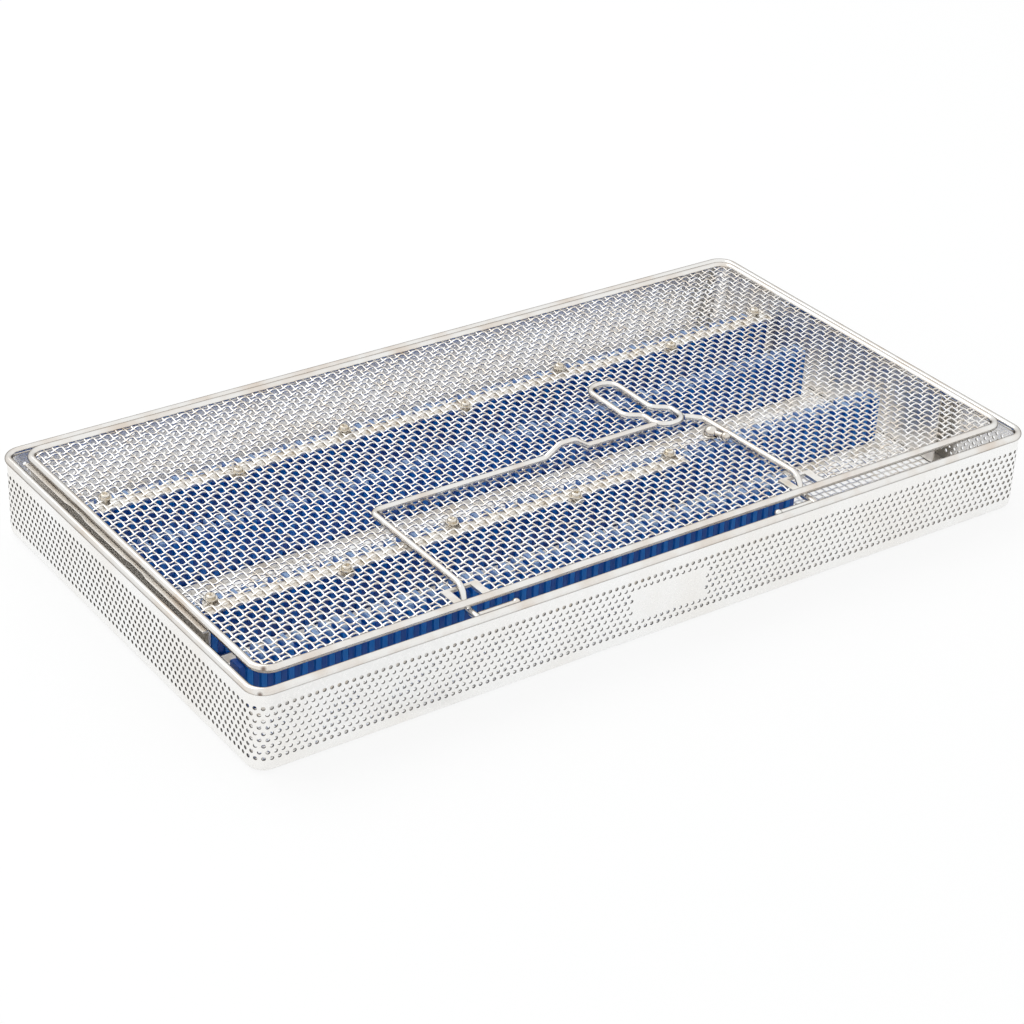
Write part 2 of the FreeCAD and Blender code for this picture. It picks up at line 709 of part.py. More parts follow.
def make_comb_rail(number, length_alias):
    y = from_front(f"comb_{number}_from_front")
    body = new_body(f"comb_rail_{number}")
    profile = new_sketch(body, f"comb_rail_{number}_profile", "YZ_Plane")
    inner = size("comb_width") / 2 + size("rail_clearance")
    outer = inner + size("rail_sheet")
    base = size("rail_sheet")
    height = size("rail_height")
    closed_outline(
        profile,
        [
            (-outer, 0),
            (outer, 0),
            (outer, height),
            (inner, height),
            (inner, base),
            (-inner, base),
            (-inner, height),
            (-outer, height),
        ],
    )
    feature(body, "PartDesign::Pad", f"comb_rail_{number}_channel", profile, Length=D + length_alias)
    start = Vector(from_left("comb_start"), y, FLOOR_TOP)
    body.Placement = FreeCAD.Placement(start, FreeCAD.Rotation())
    doc.recompute()
    return body


# Screws, washers and nuts clamp two steel strips under the lid's net.

BACK_SCREWS = 7
FRONT_SCREWS = 5
NUT_SIDES = 6


# A row of screws: how many, then its sizes for both ends and for the strip's middle.

BACK_ROW = (BACK_SCREWS, "back_screw_start", "back_screw_end", "back_strip_from_front")
FRONT_ROW = (FRONT_SCREWS, "front_screw_start", "front_screw_end", "front_strip_from_front")


def screw_row(row):
    """Screws in a zigzag: the first stands behind the strip's middle."""
    count, start, end, middle = row
    pitch = (size("tray_length") - size(start) - size(end)) / (count - 1)
    offset = size("hold_ear_offset")
    places = []
    for k in range(count):
        side = offset if k % 2 == 0 else -offset
        places.append((from_left(start) + k * pitch, from_front(middle) + side))
    return places


def screw_places():
    return screw_row(BACK_ROW) + screw_row(FRONT_ROW)


def make_hold_strip(name, row):
    thickness = size("hold_strip_thickness")
    low = NET_BOTTOM - thickness
    places = screw_row(row)
    y = from_front(row[-1])
    left = places[0][0] - size("strip_end")
    right = places[-1][0] + size("strip_end")
    half = size("hold_strip_width") / 2
    shape = Part.makeBox(right - left, 2 * half, thickness, Vector(left, y - half, low))
    radius = size("hold_ear_diameter") / 2
    ears = [upright_prism(a, b, low, radius, WIRE_SIDES, thickness) for a, b in places]
    shape = shape.fuse(ears).removeSplitter()
    over = size("cut_overrun")
    for a, b in places:
        height = thickness + 2 * over
        shape = shape.cut(upright_prism(a, b, low - over, SHANK_HOLE_RADIUS, WIRE_SIDES, height))
    return shape_node(name, shape.Solids[0])


def make_screws():
    washer_top = NET_TOP + size("washer_thickness")
    nut_bottom = NET_BOTTOM - size("hold_strip_thickness") - size("nut_height")
    tip = nut_bottom - size("screw_tip")
    shank_radius = size("screw_diameter") / 2
    head_radius = size("screw_head_diameter") / 2
    head_height = size("screw_head_height")
    screws = []
    for x, y in screw_places():
        shank = upright_prism(x, y, tip, shank_radius, WIRE_SIDES, washer_top - tip)
        head = upright_prism(x, y, washer_top, head_radius, HEAD_SIDES, head_height)
        screws.append(shank.fuse(head).removeSplitter())
    return shape_node("lid_screws", Part.makeCompound(screws))


def make_washers():
    radius = size("washer_diameter") / 2
    thickness = size("washer_thickness")
    washers = []
    for x, y in screw_places():
        disc = upright_prism(x, y, NET_TOP, radius, HEAD_SIDES, thickness)
        drill = upright_prism(x, y, NET_TOP, SHANK_HOLE_RADIUS, WIRE_SIDES, thickness)
        washers.append(disc.cut(drill))
    return shape_node("lid_washers", Part.makeCompound(washers))


def make_nuts():
    bottom = NET_BOTTOM - size("hold_strip_thickness") - size("nut_height")
    radius = size("nut_across_corners") / 2
    height = size("nut_height")
    nuts = []
    for x, y in screw_places():
        block = upright_prism(x, y, bottom, radius, NUT_SIDES, height)
        drill = upright_prism(x, y, bottom, SHANK_HOLE_RADIUS, WIRE_SIDES, height)
        nuts.append(block.cut(drill))
    return shape_node("lid_nuts", Part.makeCompound(nuts))


# The bail: bent wire that lies on the lid and passes under its front bar.

def leg_points(x_top, x_hinge, y_top):
    """From the net's level down behind the hinge bar and forward under it."""
    level = LID_HEIGHT - size("bail_drop")
    slant = size("bail_foot_slant")
    tip_y = -HALF_WIDTH + size("rim_inset") + RIM_RADIUS + size("seat_gap")
    return [
        Vector(x_top, y_top, BAIL_HEIGHT),
        Vector(x_hinge, HINGE_Y + size("bail_drop_start"), BAIL_HEIGHT),
        Vector(x_hinge - slant, HINGE_Y + size("bail_drop_end"), level),
        Vector(x_hinge - slant, tip_y, level),
    ]


def make_bail():
    y = HINGE_Y + size("bail_reach")
    left = from_left("bail_left_from_left")
    middle = from_left("bail_hump_from_left")
    base = size("bail_hump_base") / 2
    crest = size("bail_hump_crest") / 2
    high = BAIL_HEIGHT + size("bail_hump_rise")
    ring_strand = from_left("ring_left_from_left") + size("ring_jog")
    end = ring_strand - BAIL_RADIUS - size("weld_gap")
    leg = leg_points(left, left, y)[::-1]
    crossbar = [
        Vector(middle - base, y, BAIL_HEIGHT),
        Vector(middle - crest, y, high),
        Vector(middle + crest, y, high),
        Vector(middle + base, y, BAIL_HEIGHT),
        Vector(end, y, BAIL_HEIGHT),
    ]
    shape = bent_wire(leg + crossbar)
    return shape_node("bail_wire", shape)


def bent_wire(points):
    """The bail's wire through these points, all its bends alike."""
    path = rounded_path(points, [size("bail_bend_radius")] * (len(points) - 2))
    return wire_solid(path, size("bail_wire_diameter"))


def make_finger_ring():
    """A closed racetrack whose front half is offset to the right."""
    left = from_left("ring_left_from_left")
    right = left + size("ring_width")
    jog = size("ring_jog")
    front = HINGE_Y + size("ring_front")
    back = HINGE_Y + size("ring_back")
    jog_front = HINGE_Y + size("ring_jog_start")
    jog_back = jog_front + size("ring_jog_length")
    z = BAIL_HEIGHT
    middle_front = (left + right) / 2 + jog
    start = Vector(middle_front, front, z)
    points = [
        start,
        Vector(right + jog, front, z),
        Vector(right + jog, jog_front, z),
        Vector(right, jog_back, z),
        Vector(right, back, z),
        Vector(left, back, z),
        Vector(left, jog_back, z),
        Vector(left + jog, jog_front, z),
        Vector(left + jog, front, z),
        start,
    ]
    end_bend = size("ring_end_radius")
    jog_bend = size("ring_jog_radius")
    path = rounded_path(points, [end_bend, jog_bend, jog_bend, end_bend] * 2)
    return shape_node("finger_ring", wire_solid(path, size("bail_wire_diameter")))


def make_right_leg():
    bend_x = from_left("bail_right_from_left")
    hinge_x = bend_x + size("bail_leg_splay")
    ring_strand = from_left("ring_left_from_left") + size("ring_width") + size("ring_jog")
    join_y = HINGE_Y + size("leg_join_behind")
    start = Vector(ring_strand + BAIL_RADIUS + size("weld_gap"), join_y, BAIL_HEIGHT)
    leg = leg_points(bend_x, hinge_x, HINGE_Y + size("leg_bend_behind"))
    shape = bent_wire([start] + leg)
    return shape_node("bail_right_leg", shape)


def pin_with_ball(pin_radius, ball_radius, length):
    """A pin along +X from the origin; its ball's middle stands at this length."""
    neck_angle = math.pi - math.asin(pin_radius / ball_radius)
    rows = [(0, pin_radius)]
    for k in range(BALL_BANDS + 1):
        angle = neck_angle + (BALL_END_ANGLE - neck_angle) * k / BALL_BANDS
        rows.append((length + ball_radius * math.cos(angle), ball_radius * math.sin(angle)))
    along = Vector(1, 0, 0)
    rings = [polygon_at(along * x, along, radius, WIRE_SIDES) for x, radius in rows]
    faces = [flat_face(rings[0]), flat_face(rings[-1])]
    for ring, following in zip(rings, rings[1:]):
        for k in range(WIRE_SIDES):
            after = (k + 1) % WIRE_SIDES
            faces.append(flat_face([ring[k], ring[after], following[after], following[k]]))
    solid = Part.Solid(Part.Shell(faces))
    if solid.Volume < 0:
        solid.reverse()
    return solid


def make_foot_pin(name, x_leg, direction):
    """A pin across the end of a leg, with a round bead at its far end."""
    inner = BAIL_RADIUS + size("weld_gap")
    shape = pin_with_ball(
        size("foot_pin_diameter") / 2,
        size("foot_bead_diameter") / 2,
        size("foot_pin_length") - inner,
    )
    turn = FreeCAD.Rotation(Vector(1, 0, 0), Vector(direction, 0, 0))
    y = HINGE_Y - size("foot_pin_ahead")
    start = Vector(x_leg + direction * inner, y, LID_HEIGHT - size("bail_drop"))
    return shape_node(name, shape, FreeCAD.Placement(start, turn))


def make_catch():
    """A flat base with an arm and a ball that bears on the right leg."""
    x = from_left("catch_from_left")
    y = HINGE_Y + size("catch_behind")
    foot = Vector(x, y, NET_TOP)
    base_radius = size("catch_base_diameter") / 2
    base = upright_prism(x, y, NET_TOP, base_radius, HEAD_SIDES, size("catch_base_thickness"))
    ball_radius = size("catch_ball_diameter") / 2
    arm_radius = size("catch_arm_diameter") / 2
    ball_behind = size("catch_behind") - size("catch_arm_length")
    drift_share = (size("leg_bend_behind") - ball_behind) / size("leg_bend_behind")
    leg_x = from_left("bail_right_from_left") + size("bail_leg_splay") * drift_share
    ball_x = leg_x - BAIL_RADIUS - size("seat_gap") - ball_radius
    along = Vector(ball_x - x, -size("catch_arm_length"), 0)
    arm = pin_with_ball(arm_radius, ball_radius, along.Length)
    arm.Placement = FreeCAD.Placement(
        foot + Vector(0, 0, ball_radius), FreeCAD.Rotation(Vector(1, 0, 0), along)
    )
    post = upright_prism(x, y, NET_TOP, arm_radius, WIRE_SIDES, ball_radius)
    return shape_node("bail_catch", base.fuse([post, arm]).removeSplitter())


def make_everything():
    NODES.append(make_tray_wall())
    inset = f"2 * {D}rim_inset"
    rim = make_bead(
        "tray_rim",
        f"{D}tray_length - {inset}",
        f"{D}tray_width - {inset}",
        f"{D}tray_corner_radius - {D}rim_inset",
        D + "rim_middle_height",
        D + "rim_diameter",
    )
    NODES.append(rim)
    NODES.append(make_tray_floor())
    NODES.append(make_side_plate("side_plate_left", -1))
    NODES.append(make_side_plate("side_plate_right", 1))
    for number in (1, 2, 3, 4):
        length_alias = "short_comb_length" if number == 4 else "comb_length"
        NODES.append(make_comb_rail(number, length_alias))
        NODES.append(make_comb(number, length_alias))
    frame = make_bead(
        "lid_frame",
        D + "lid_length",
        D + "lid_width",
        D + "lid_corner_radius",
        D + "lid_middle_height",
        D + "lid_wire_diameter",
    )
    NODES.append(frame)
    NODES.append(make_lid_mesh())
    left_slot, right_slot = slot_centres()
    NODES.append(make_slot_frame("slot_frame_left", left_slot))
    NODES.append(make_slot_frame("slot_frame_right", right_slot))
    NODES.append(make_hold_strip("hold_strip_back", BACK_ROW))
    NODES.append(make_hold_strip("hold_strip_front", FRONT_ROW))
    NODES.append(make_screws())
    NODES.append(make_washers())
    NODES.append(make_nuts())
    NODES.append(make_catch())
    NODES.append(make_bail())
    NODES.append(make_finger_ring())
    NODES.append(make_right_leg())
    slant = size("bail_foot_slant")
    left_foot = from_left("bail_left_from_left") - slant
    right_foot = from_left("bail_right_from_left") + size("bail_leg_splay") - slant
    NODES.append(make_foot_pin("foot_pin_left", left_foot, 1))
    NODES.append(make_foot_pin("foot_pin_right", right_foot, -1))


make_everything()
doc.recompute()

for item in doc.Objects:
    if "Invalid" in item.State or "Error" in item.State:
        raise RuntimeError(f"{item.Label} failed: {item.State}")

os.makedirs("parts", exist_ok=True)
for node in NODES:
    shape = node.Shape
    if shape.isNull() or not shape.isValid() or not shape.Solids:
        raise RuntimeError(f"{node.Label} has no valid solid")
    shape.exportStep(f"parts/{node.Label}.step")
    box = shape.BoundBox
    reach = f"x {box.XMin:.1f}..{box.XMax:.1f}, y {box.YMin:.1f}..{box.YMax:.1f}"
    reach += f", z {box.ZMin:.1f}..{box.ZMax:.1f}"
    print(f"{node.Label}: {len(shape.Solids)} solids, {shape.Volume:.1f} mm3, {reach}")
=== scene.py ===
# %% [markdown]
# # A sterilization basket
#
# The object is a flat steel tray, almost half a metre long, in which surgical
# instruments are washed and sterilized. Its walls are perforated sheet, its floor and
# lid are woven wire, four blue silicone combs hold the instruments, and a bent wire
# bail keeps the lid shut. This lesson dresses a finished CAD model: the model gives
# each piece its place and its motion, and Blender gives it its real surface.
#
# The first cell loads the CAD model as a frame. Nothing in it is moved later.

# %% Load the CAD model
import math

import bpy
import numpy as np
from mathutils import Matrix, Vector


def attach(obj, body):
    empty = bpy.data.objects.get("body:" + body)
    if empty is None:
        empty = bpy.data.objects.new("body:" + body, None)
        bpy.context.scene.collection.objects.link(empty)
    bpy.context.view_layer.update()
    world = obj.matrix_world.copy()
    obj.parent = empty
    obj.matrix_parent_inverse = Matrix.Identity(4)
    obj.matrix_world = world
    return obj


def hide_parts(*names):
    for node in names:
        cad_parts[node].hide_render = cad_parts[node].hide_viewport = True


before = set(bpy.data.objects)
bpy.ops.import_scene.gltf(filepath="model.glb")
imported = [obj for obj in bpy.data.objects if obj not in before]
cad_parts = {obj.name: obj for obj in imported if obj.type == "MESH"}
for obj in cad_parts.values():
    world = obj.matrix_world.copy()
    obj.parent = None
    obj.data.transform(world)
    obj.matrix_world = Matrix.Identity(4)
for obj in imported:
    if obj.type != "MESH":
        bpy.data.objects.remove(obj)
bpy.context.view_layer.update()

# %% [markdown]
# ## Units and two small helpers
#
# A draughtsman thinks in millimetres and Blender in metres, so every length of the
# basket is written in millimetres and multiplied once, where a mesh or a texture is
# made. Colours are written as the hex values of a colour picker. Those are sRGB, and
# the renderer adds light in a linear space, so one function turns the one into the
# other. Another adds a shader node with its settings and links.

# %% Units, colours and shader nodes
MM = 0.001


def linear(hex_colour):
    """The linear RGBA of an sRGB colour such as '#d8d5ce'."""
    parts = [int(hex_colour[i:i + 2], 16) / 255 for i in (1, 3, 5)]
    return tuple([((c + 0.055) / 1.055) ** 2.4 if c > 0.04045 else c / 12.92 for c in parts] + [1.0])


def add_node(tree, kind, settings, inputs):
    """Adds a shader node. An input is a plain value, or a socket to link."""
    node = tree.nodes.new("ShaderNode" + kind)
    for name, value in settings.items():
        setattr(node, name, value)
    for name, value in inputs.items():
        if isinstance(value, bpy.types.NodeSocket):
            tree.links.new(value, node.inputs[name])
        else:
            node.inputs[name].default_value = value
    return node


print("half of a picker's white, in linear light:", round(linear("#808080")[0], 3))

# %% [markdown]
# ## Stainless steel, nine finishes
#
# All the metal here is stainless steel, and what tells its pieces apart is how each
# surface was made. So one function makes them all from a colour, a roughness and two
# patterns: cloudy patches, where polishing or heat left a warmer tone, and a grain that
# breaks up the gloss. Real grain is finer than a pixel, so it is drawn as coarse as it
# needs to show, at 0.3 to 1.5 mm. A metal keeps the shader's default IOR, because its
# colour already says how much light it reflects. Its specular tint is what it reflects
# at a grazing angle: a darker one draws the thin dark line along both sides of a wire.
# Where a wire's ends were welded together, the heat has left a small brown spot.

# %% Patterns and blends
def new_material(name, settings):
    """A material with its node tree and its shader, on which plain values are set."""
    material = bpy.data.materials.new(name)
    material.use_nodes = True
    shader = material.node_tree.nodes["Principled BSDF"]
    for socket, value in settings.items():
        shader.inputs[socket].default_value = value
    return material, material.node_tree, shader


def noise(tree, place, size_mm, detail):
    """A noise pattern whose blotches are about this many millimetres wide."""
    inputs = {"Vector": place, "Scale": 1 / (size_mm * MM), "Detail": detail}
    return add_node(tree, "TexNoise", {}, inputs).outputs["Fac"]


def ranged(tree, value, low, high, new_low, new_high):
    """The value, moved from one range to another and held inside it."""
    inputs = {"Value": value, "From Min": low, "From Max": high, "To Min": new_low, "To Max": new_high}
    return add_node(tree, "MapRange", {}, inputs).outputs["Result"]


def mixed(tree, share, first, second):
    """The first colour, turning into the second as share goes from 0 to 1."""
    # A Mix node has sockets for each type. Inputs 6 and 7 and output 2 are its colours.
    inputs = {0: share, 6: first, 7: second}
    return add_node(tree, "Mix", {"data_type": "RGBA"}, inputs).outputs[2]


# %% A stainless steel finish
PATCH_DETAIL, PATCH_FADE = 4.0, (0.42, 0.72)
GRAIN_DETAIL, GRAIN_SPAN, GRAIN_STRENGTH = 2.0, (0.3, 0.7), 0.5
GLOSS_CHANGE = 0.25
WELD_FADE, WELD_SHARE, WELD_BROWN = (0.5 * MM, 1.7 * MM), 0.8, "#5f4636"


def steel(name, colour, warm, roughness, patch_mm, grain_mm, depth_mm,
          stretch=(1, 1, 1), edge="#ffffff", welds=()):
    """Stainless steel: cloudy warm patches, a grain in gloss and height, tinted welds."""
    material, tree, shader = new_material(name, {"Metallic": 1.0, "Specular Tint": linear(edge)})
    place = add_node(tree, "TexCoord", {}, {}).outputs["Object"]
    patches = ranged(tree, noise(tree, place, patch_mm, PATCH_DETAIL), *PATCH_FADE, 0.0, 1.0)
    colours = mixed(tree, patches, linear(colour), linear(warm))
    for weld in welds:
        ends = {0: place, 1: [v * MM for v in weld]}
        apart = add_node(tree, "VectorMath", {"operation": "DISTANCE"}, ends).outputs["Value"]
        heated = ranged(tree, apart, *WELD_FADE, WELD_SHARE, 0.0)
        colours = mixed(tree, heated, colours, linear(WELD_BROWN))
    along = add_node(tree, "Mapping", {}, {"Vector": place, "Scale": stretch}).outputs["Vector"]
    grain = noise(tree, along, grain_mm, GRAIN_DETAIL)
    gloss = ranged(tree, grain, *GRAIN_SPAN, roughness * (1 - GLOSS_CHANGE), roughness * (1 + GLOSS_CHANGE))
    height = {"Height": grain, "Distance": depth_mm * MM, "Strength": GRAIN_STRENGTH}
    bump = add_node(tree, "Bump", {}, height)
    tree.links.new(colours, shader.inputs["Base Color"])
    tree.links.new(gloss, shader.inputs["Roughness"])
    tree.links.new(bump.outputs["Normal"], shader.inputs["Normal"])
    print(f"finish: {name}, roughness about {roughness}")
    return material


# %% The nine finishes
DARK_SIDES, DIMMED_SIDES, DEEP_SIDES = "#6a6058", "#b0a89e", "#5a524b"
BUTT_WELDS = [(-238.6, -130.0, 44.5), (-230.5, -119.3, 49.5)]
STREAKS_ALONG_Y = (1, 0.08, 1)

# Sheet smoothed in an acid bath looks even and pale, with a soft gloss.
electropolished_sheet = steel("electropolished_sheet", "#fbfbfa", "#f4f1ec", 0.32, 60, 1.2, 0.01)
# Thick wire drawn through a die is glossier, with a white line between two dark ones.
bright_drawn_wire = steel("bright_drawn_wire", "#eeedea", "#dfd5ca", 0.18, 18, 0.8, 0.015,
                          edge=DARK_SIDES, welds=BUTT_WELDS)
# Thin wire is rubbed where wires cross, so its gloss is softer and a little warm.
woven_wire = steel("woven_wire", "#faf9f7", "#eae1d5", 0.26, 9, 0.6, 0.015, edge=DIMMED_SIDES)
# The floor's wire is dulled by all that was laid on it, and looks almost matt.
floor_wire = steel("floor_wire", "#f8f7f5", "#ece6dd", 0.45, 12, 0.6, 0.015)
# Strip blasted with glass beads has a satin look that is the same from every side.
bead_blasted_strip = steel("bead_blasted_strip", "#eceae6", "#d9cfc0", 0.38, 12, 0.5, 0.03)
# Rolled and turned fasteners are bright, and many hot rounds tint them a faint gold.
gold_tinted_fastener = steel("gold_tinted_fastener", "#ece7de", "#cfc2ab", 0.2, 2.5, 0.4, 0.02,
                             edge=DARK_SIDES)
# A ball polished on the lathe is nearly a mirror, and dark towards its outline.
turned_ball = steel("turned_ball", "#e9e6e0", "#cfc4b6", 0.08, 6, 0.5, 0.01, edge=DEEP_SIDES)
# Plate brushed along the wall has fine streaks that blur what it mirrors.
brushed_plate = steel("brushed_plate", "#f4f1ec", "#e4ddd4", 0.4, 35, 1.5, 0.02, STREAKS_ALONG_Y)
# Inside each hole the punch has torn the steel, which leaves it dull; its dark grey is painted shade.
shaded_hole_edge = steel("shaded_hole_edge", "#918d88", "#77726c", 0.5, 3, 0.3, 0.03)

# %% [markdown]
# ## Silicone
#
# The combs are compression-moulded silicone rubber. It is dyed through, so it has no
# coat or wear: a deep blue with a dull gloss. On top of that the colour holds painted
# light: painted shade darkens the strip between the tall fingers, a painted highlight
# makes the tall fingers brighter, and a painted sheen makes them palest at their tips.
# The fingers repeat every 7.5 mm, a low one first, so the fraction of the way along one
# repeat says where the painted shade and the painted highlight go. A touch of subsurface
# scattering and a fine bump do the rest. The bump is the spark-eroded skin of the mould,
# drawn a little coarser than it is, so that it shows.

# %% Moulded silicone
COMB_START, TALL_PITCH = -226.05, 7.5
# Where the painted highlight on the tall fingers fades into the painted shade between them.
LIGHT_FADE = (0.36, 0.54)
CLOUD_SIZE, CLOUD_DETAIL, CLOUD_SPAN, CLOUD_SHADE = 14, 3.0, (0.3, 0.7), 0.75
TIP_FADE, TIP_SHARE = (32.5 * MM, 36.0 * MM), 0.6
SKIN_SIZE, SKIN_DEPTH, SKIN_STRENGTH = 0.35, 0.03, 0.4


def silicone(name, dark, light, tip):
    """Dyed silicone rubber, with painted shade between the tall fingers and a painted highlight on them and
    their tips.
    """
    settings = {"IOR": 1.41, "Roughness": 0.32, "Subsurface Weight": 0.12,
                "Subsurface Radius": (0.2, 0.5, 1.0), "Subsurface Scale": 2.0 * MM}
    material, tree, shader = new_material(name, settings)
    place = add_node(tree, "TexCoord", {}, {}).outputs["Object"]
    axes = add_node(tree, "SeparateXYZ", {}, {"Vector": place}).outputs
    # Painted shade between the tall fingers and a painted highlight on them, by place along the comb.
    steps = ranged(tree, axes["X"], COMB_START * MM, (COMB_START + TALL_PITCH) * MM, 0.0, 1.0)
    steps.node.clamp = False
    part = add_node(tree, "Math", {"operation": "FRACT"}, {0: steps}).outputs[0]
    tall = ranged(tree, part, *LIGHT_FADE, 0.0, 1.0)
    clouds = ranged(tree, noise(tree, place, CLOUD_SIZE, CLOUD_DETAIL), *CLOUD_SPAN, CLOUD_SHADE, 1.0)
    share = add_node(tree, "Math", {"operation": "MULTIPLY"}, {0: tall, 1: clouds}).outputs[0]
    colours = mixed(tree, share, linear(dark), linear(light))
    # A painted sheen makes the tall fingers palest towards their tips.
    height = ranged(tree, axes["Z"], *TIP_FADE, 0.0, TIP_SHARE)
    colours = mixed(tree, height, colours, linear(tip))
    skin = noise(tree, place, SKIN_SIZE, 1.0)
    relief = {"Height": skin, "Distance": SKIN_DEPTH * MM, "Strength": SKIN_STRENGTH}
    bump = add_node(tree, "Bump", {}, relief)
    tree.links.new(colours, shader.inputs["Base Color"])
    tree.links.new(bump.outputs["Normal"], shader.inputs["Normal"])
    return material


# The painted-shade blue, the painted-highlight blue, and the painted sheen of the tips.
moulded_silicone = silicone("moulded_silicone", "#1f55a8", "#0876d0", "#c0d8f2")
print("silicone:", moulded_silicone.name, "with a tall finger every", TALL_PITCH, "mm")

# %% [markdown]
# ## From lists of points to a piece
#
# The basket is mostly repetition: thousands of holes and crossings. Editing tools are
# slow at that, so the meshes are worked out with arrays and handed to Blender whole.
# Faces come in groups, one array for each number of corners. The helper also measures
# the volume inside and turns the faces outwards if it comes out below zero, shades the
# piece smooth, keeps real edges sharp, gives it its finish, and lets it ride on the
# body of the CAD model that it belongs to.

# %% The piece maker
def enclosed(points, groups):
    """Six times the volume inside, which is below zero if the faces look inwards."""
    points = np.asarray(points, float)
    total = 0.0
    for group in groups:
        for k in range(1, group.shape[1] - 1):
            a, b, c = (points[group[:, i]] for i in (0, k, k + 1))
            total += np.einsum("ij,ij->", a, np.cross(b, c))
    return total


def piece(name, points, groups, finish, body, replaced, sharp=35):
    """An object from points in millimetres and groups of faces, in place of CAD nodes."""
    groups = [np.asarray(group, int) for group in groups if len(group)]
    corners = np.concatenate([group.ravel() for group in groups])
    counts = np.concatenate([np.full(len(group), group.shape[1]) for group in groups])
    starts = np.concatenate([[0], np.cumsum(counts)[:-1]])
    mesh = bpy.data.meshes.new(name)
    mesh.vertices.add(len(points))
    mesh.vertices.foreach_set("co", (np.asarray(points, float) * MM).astype(np.float32).ravel())
    mesh.loops.add(len(corners))
    mesh.loops.foreach_set("vertex_index", corners.astype(np.int32))
    mesh.polygons.add(len(counts))
    mesh.polygons.foreach_set("loop_start", starts.astype(np.int32))
    mesh.update(calc_edges=True)
    if enclosed(points, groups) < 0:
        mesh.flip_normals()
    mesh.validate()
    mesh.shade_smooth()
    mesh.set_sharp_from_angle(angle=math.radians(sharp))
    mesh.materials.append(finish)
    made = bpy.data.objects.new(name, mesh)
    bpy.context.scene.collection.objects.link(made)
    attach(made, body)
    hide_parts(*replaced)
    print(f"{name}: {len(points)} points, {len(counts)} faces")
    return made


# %% Faces between rings, and several shapes in one piece
def skin(rings, sides, closed=False):
    """Four-sided faces between neighbouring rings of equally many points."""
    steps = [(i * sides, (i + 1) % rings * sides) for i in range(rings if closed else rings - 1)]
    around = [(k, (k + 1) % sides) for k in range(sides)]
    return [[i + k, i + m, j + m, j + k] for i, j in steps for k, m in around]


class Parts:
    """Collects the points and faces of several shapes that make one piece."""

    def __init__(self):
        self.points, self.faces = [], {}

    def add(self, points, faces):
        """Adds one shape, whose faces count its own points from 0."""
        first = len(self.points)
        self.points.extend(points)
        for face in faces:
            self.faces.setdefault(len(face), []).append([first + i for i in face])

    def groups(self):
        """The faces, one list for each number of corners."""
        return list(self.faces.values())


print("faces between two rings of eight points:", len(skin(2, 8)))

# %% [markdown]
# ## Perforated walls
#
# The tray's wall is sheet steel 0.8 mm thick, punched before it was bent and
# welded: 369 round holes of 2.2 mm in each of nine staggered rows. A boolean of three
# thousand cylinders would take minutes. Here the wall is a lattice of equal cells, each
# with a hole of twelve sides in its middle, laid flat first and then wrapped round the
# tray. Three numbers say where the wall goes: the middle of its bend and the direction
# it faces change in straight lines along the outline, so plain interpolation does it.
# The sheet's profile runs down the outside, round the foot and along the flange, and
# comes back inside. Its rings carry plain bands, and the cells fill what is left.

# %% Wrap a flat sheet round the tray
HALF_LENGTH, HALF_WIDTH, CORNER = 241.85, 131.3, 10.0
ARC = CORNER * math.pi / 2
RUN_X, RUN_Y = 2 * (HALF_LENGTH - CORNER), 2 * (HALF_WIDTH - CORNER)
STOPS = np.cumsum([0, RUN_X, ARC, RUN_Y, ARC, RUN_X, ARC, RUN_Y, ARC])
ROUND = STOPS[-1]
MIDDLE_X = np.array([-1, 1, 1, 1, 1, -1, -1, -1, -1]) * RUN_X / 2
MIDDLE_Y = np.array([-1, -1, -1, 1, 1, 1, 1, -1, -1]) * RUN_Y / 2
FACING = np.radians([-90, -90, 0, 0, 90, 90, 180, 180, 270])


def wrapped(along, height, inset):
    """Points of the wall: along runs round the outside from the front left bend."""
    u = np.mod(along, ROUND)
    facing = np.interp(u, STOPS, FACING)
    reach = CORNER - inset
    x = np.interp(u, STOPS, MIDDLE_X) + reach * np.cos(facing)
    y = np.interp(u, STOPS, MIDDLE_Y) + reach * np.sin(facing)
    return np.stack(np.broadcast_arrays(x, y, height), axis=-1)


print(f"once round the wall: {ROUND:.1f} mm")

# %% The sheet's profile, ring by ring
COLUMNS, ROWS = 369, 9
WIDE = 2 * COLUMNS
PITCH, ROW_STEP = ROUND / COLUMNS, 3.464
# The first hole and the bare label field are measured from the tray's left end.
FIRST_HOLE, LABEL_MIDDLE = 32.65 - CORNER, 238.5 - CORNER
LABEL_HALF, LABEL_ROWS = 22.5, range(2, 7)
WALL_TOP, TOP_ROW = 44.0, 36.0
SHEET, FOOT_BEND, FLANGE_END = 0.8, 4.0, 9.0


def foot_arc(radius, degrees):
    """A quarter circle round the middle of the foot's bend, as insets and heights."""
    return [(FOOT_BEND - radius * math.cos(a), FOOT_BEND - radius * math.sin(a)) for a in np.radians(degrees)]


half_steps = FIRST_HOLE + (np.arange(WIDE) - 1) * PITCH / 2
lines = TOP_ROW + ROW_STEP / 2 - ROW_STEP * np.arange(ROWS + 1)
profile = [(0, WALL_TOP)] + [(0, z) for z in lines] + foot_arc(FOOT_BEND, range(0, 91, 18))
profile += [(FLANGE_END, 0), (FLANGE_END, SHEET)] + foot_arc(FOOT_BEND - SHEET, range(90, -1, -18))
profile += [(SHEET, z) for z in lines[::-1]] + [(SHEET, WALL_TOP)]
rings = np.concatenate([wrapped(half_steps, z, inset) for inset, z in profile])
print(f"{len(profile)} rings of {WIDE} points, holes {PITCH:.3f} mm apart")

# %% Plain bands and holed cells
HOLE_RADIUS, HOLE_SIDES = 1.1, 12


def band(upper, lower):
    """Four-sided faces between two rings of the profile."""
    column = np.arange(WIDE)
    after = (column + 1) % WIDE
    corners = [lower * WIDE + column, lower * WIDE + after, upper * WIDE + after, upper * WIDE + column]
    return np.stack(corners, axis=1)


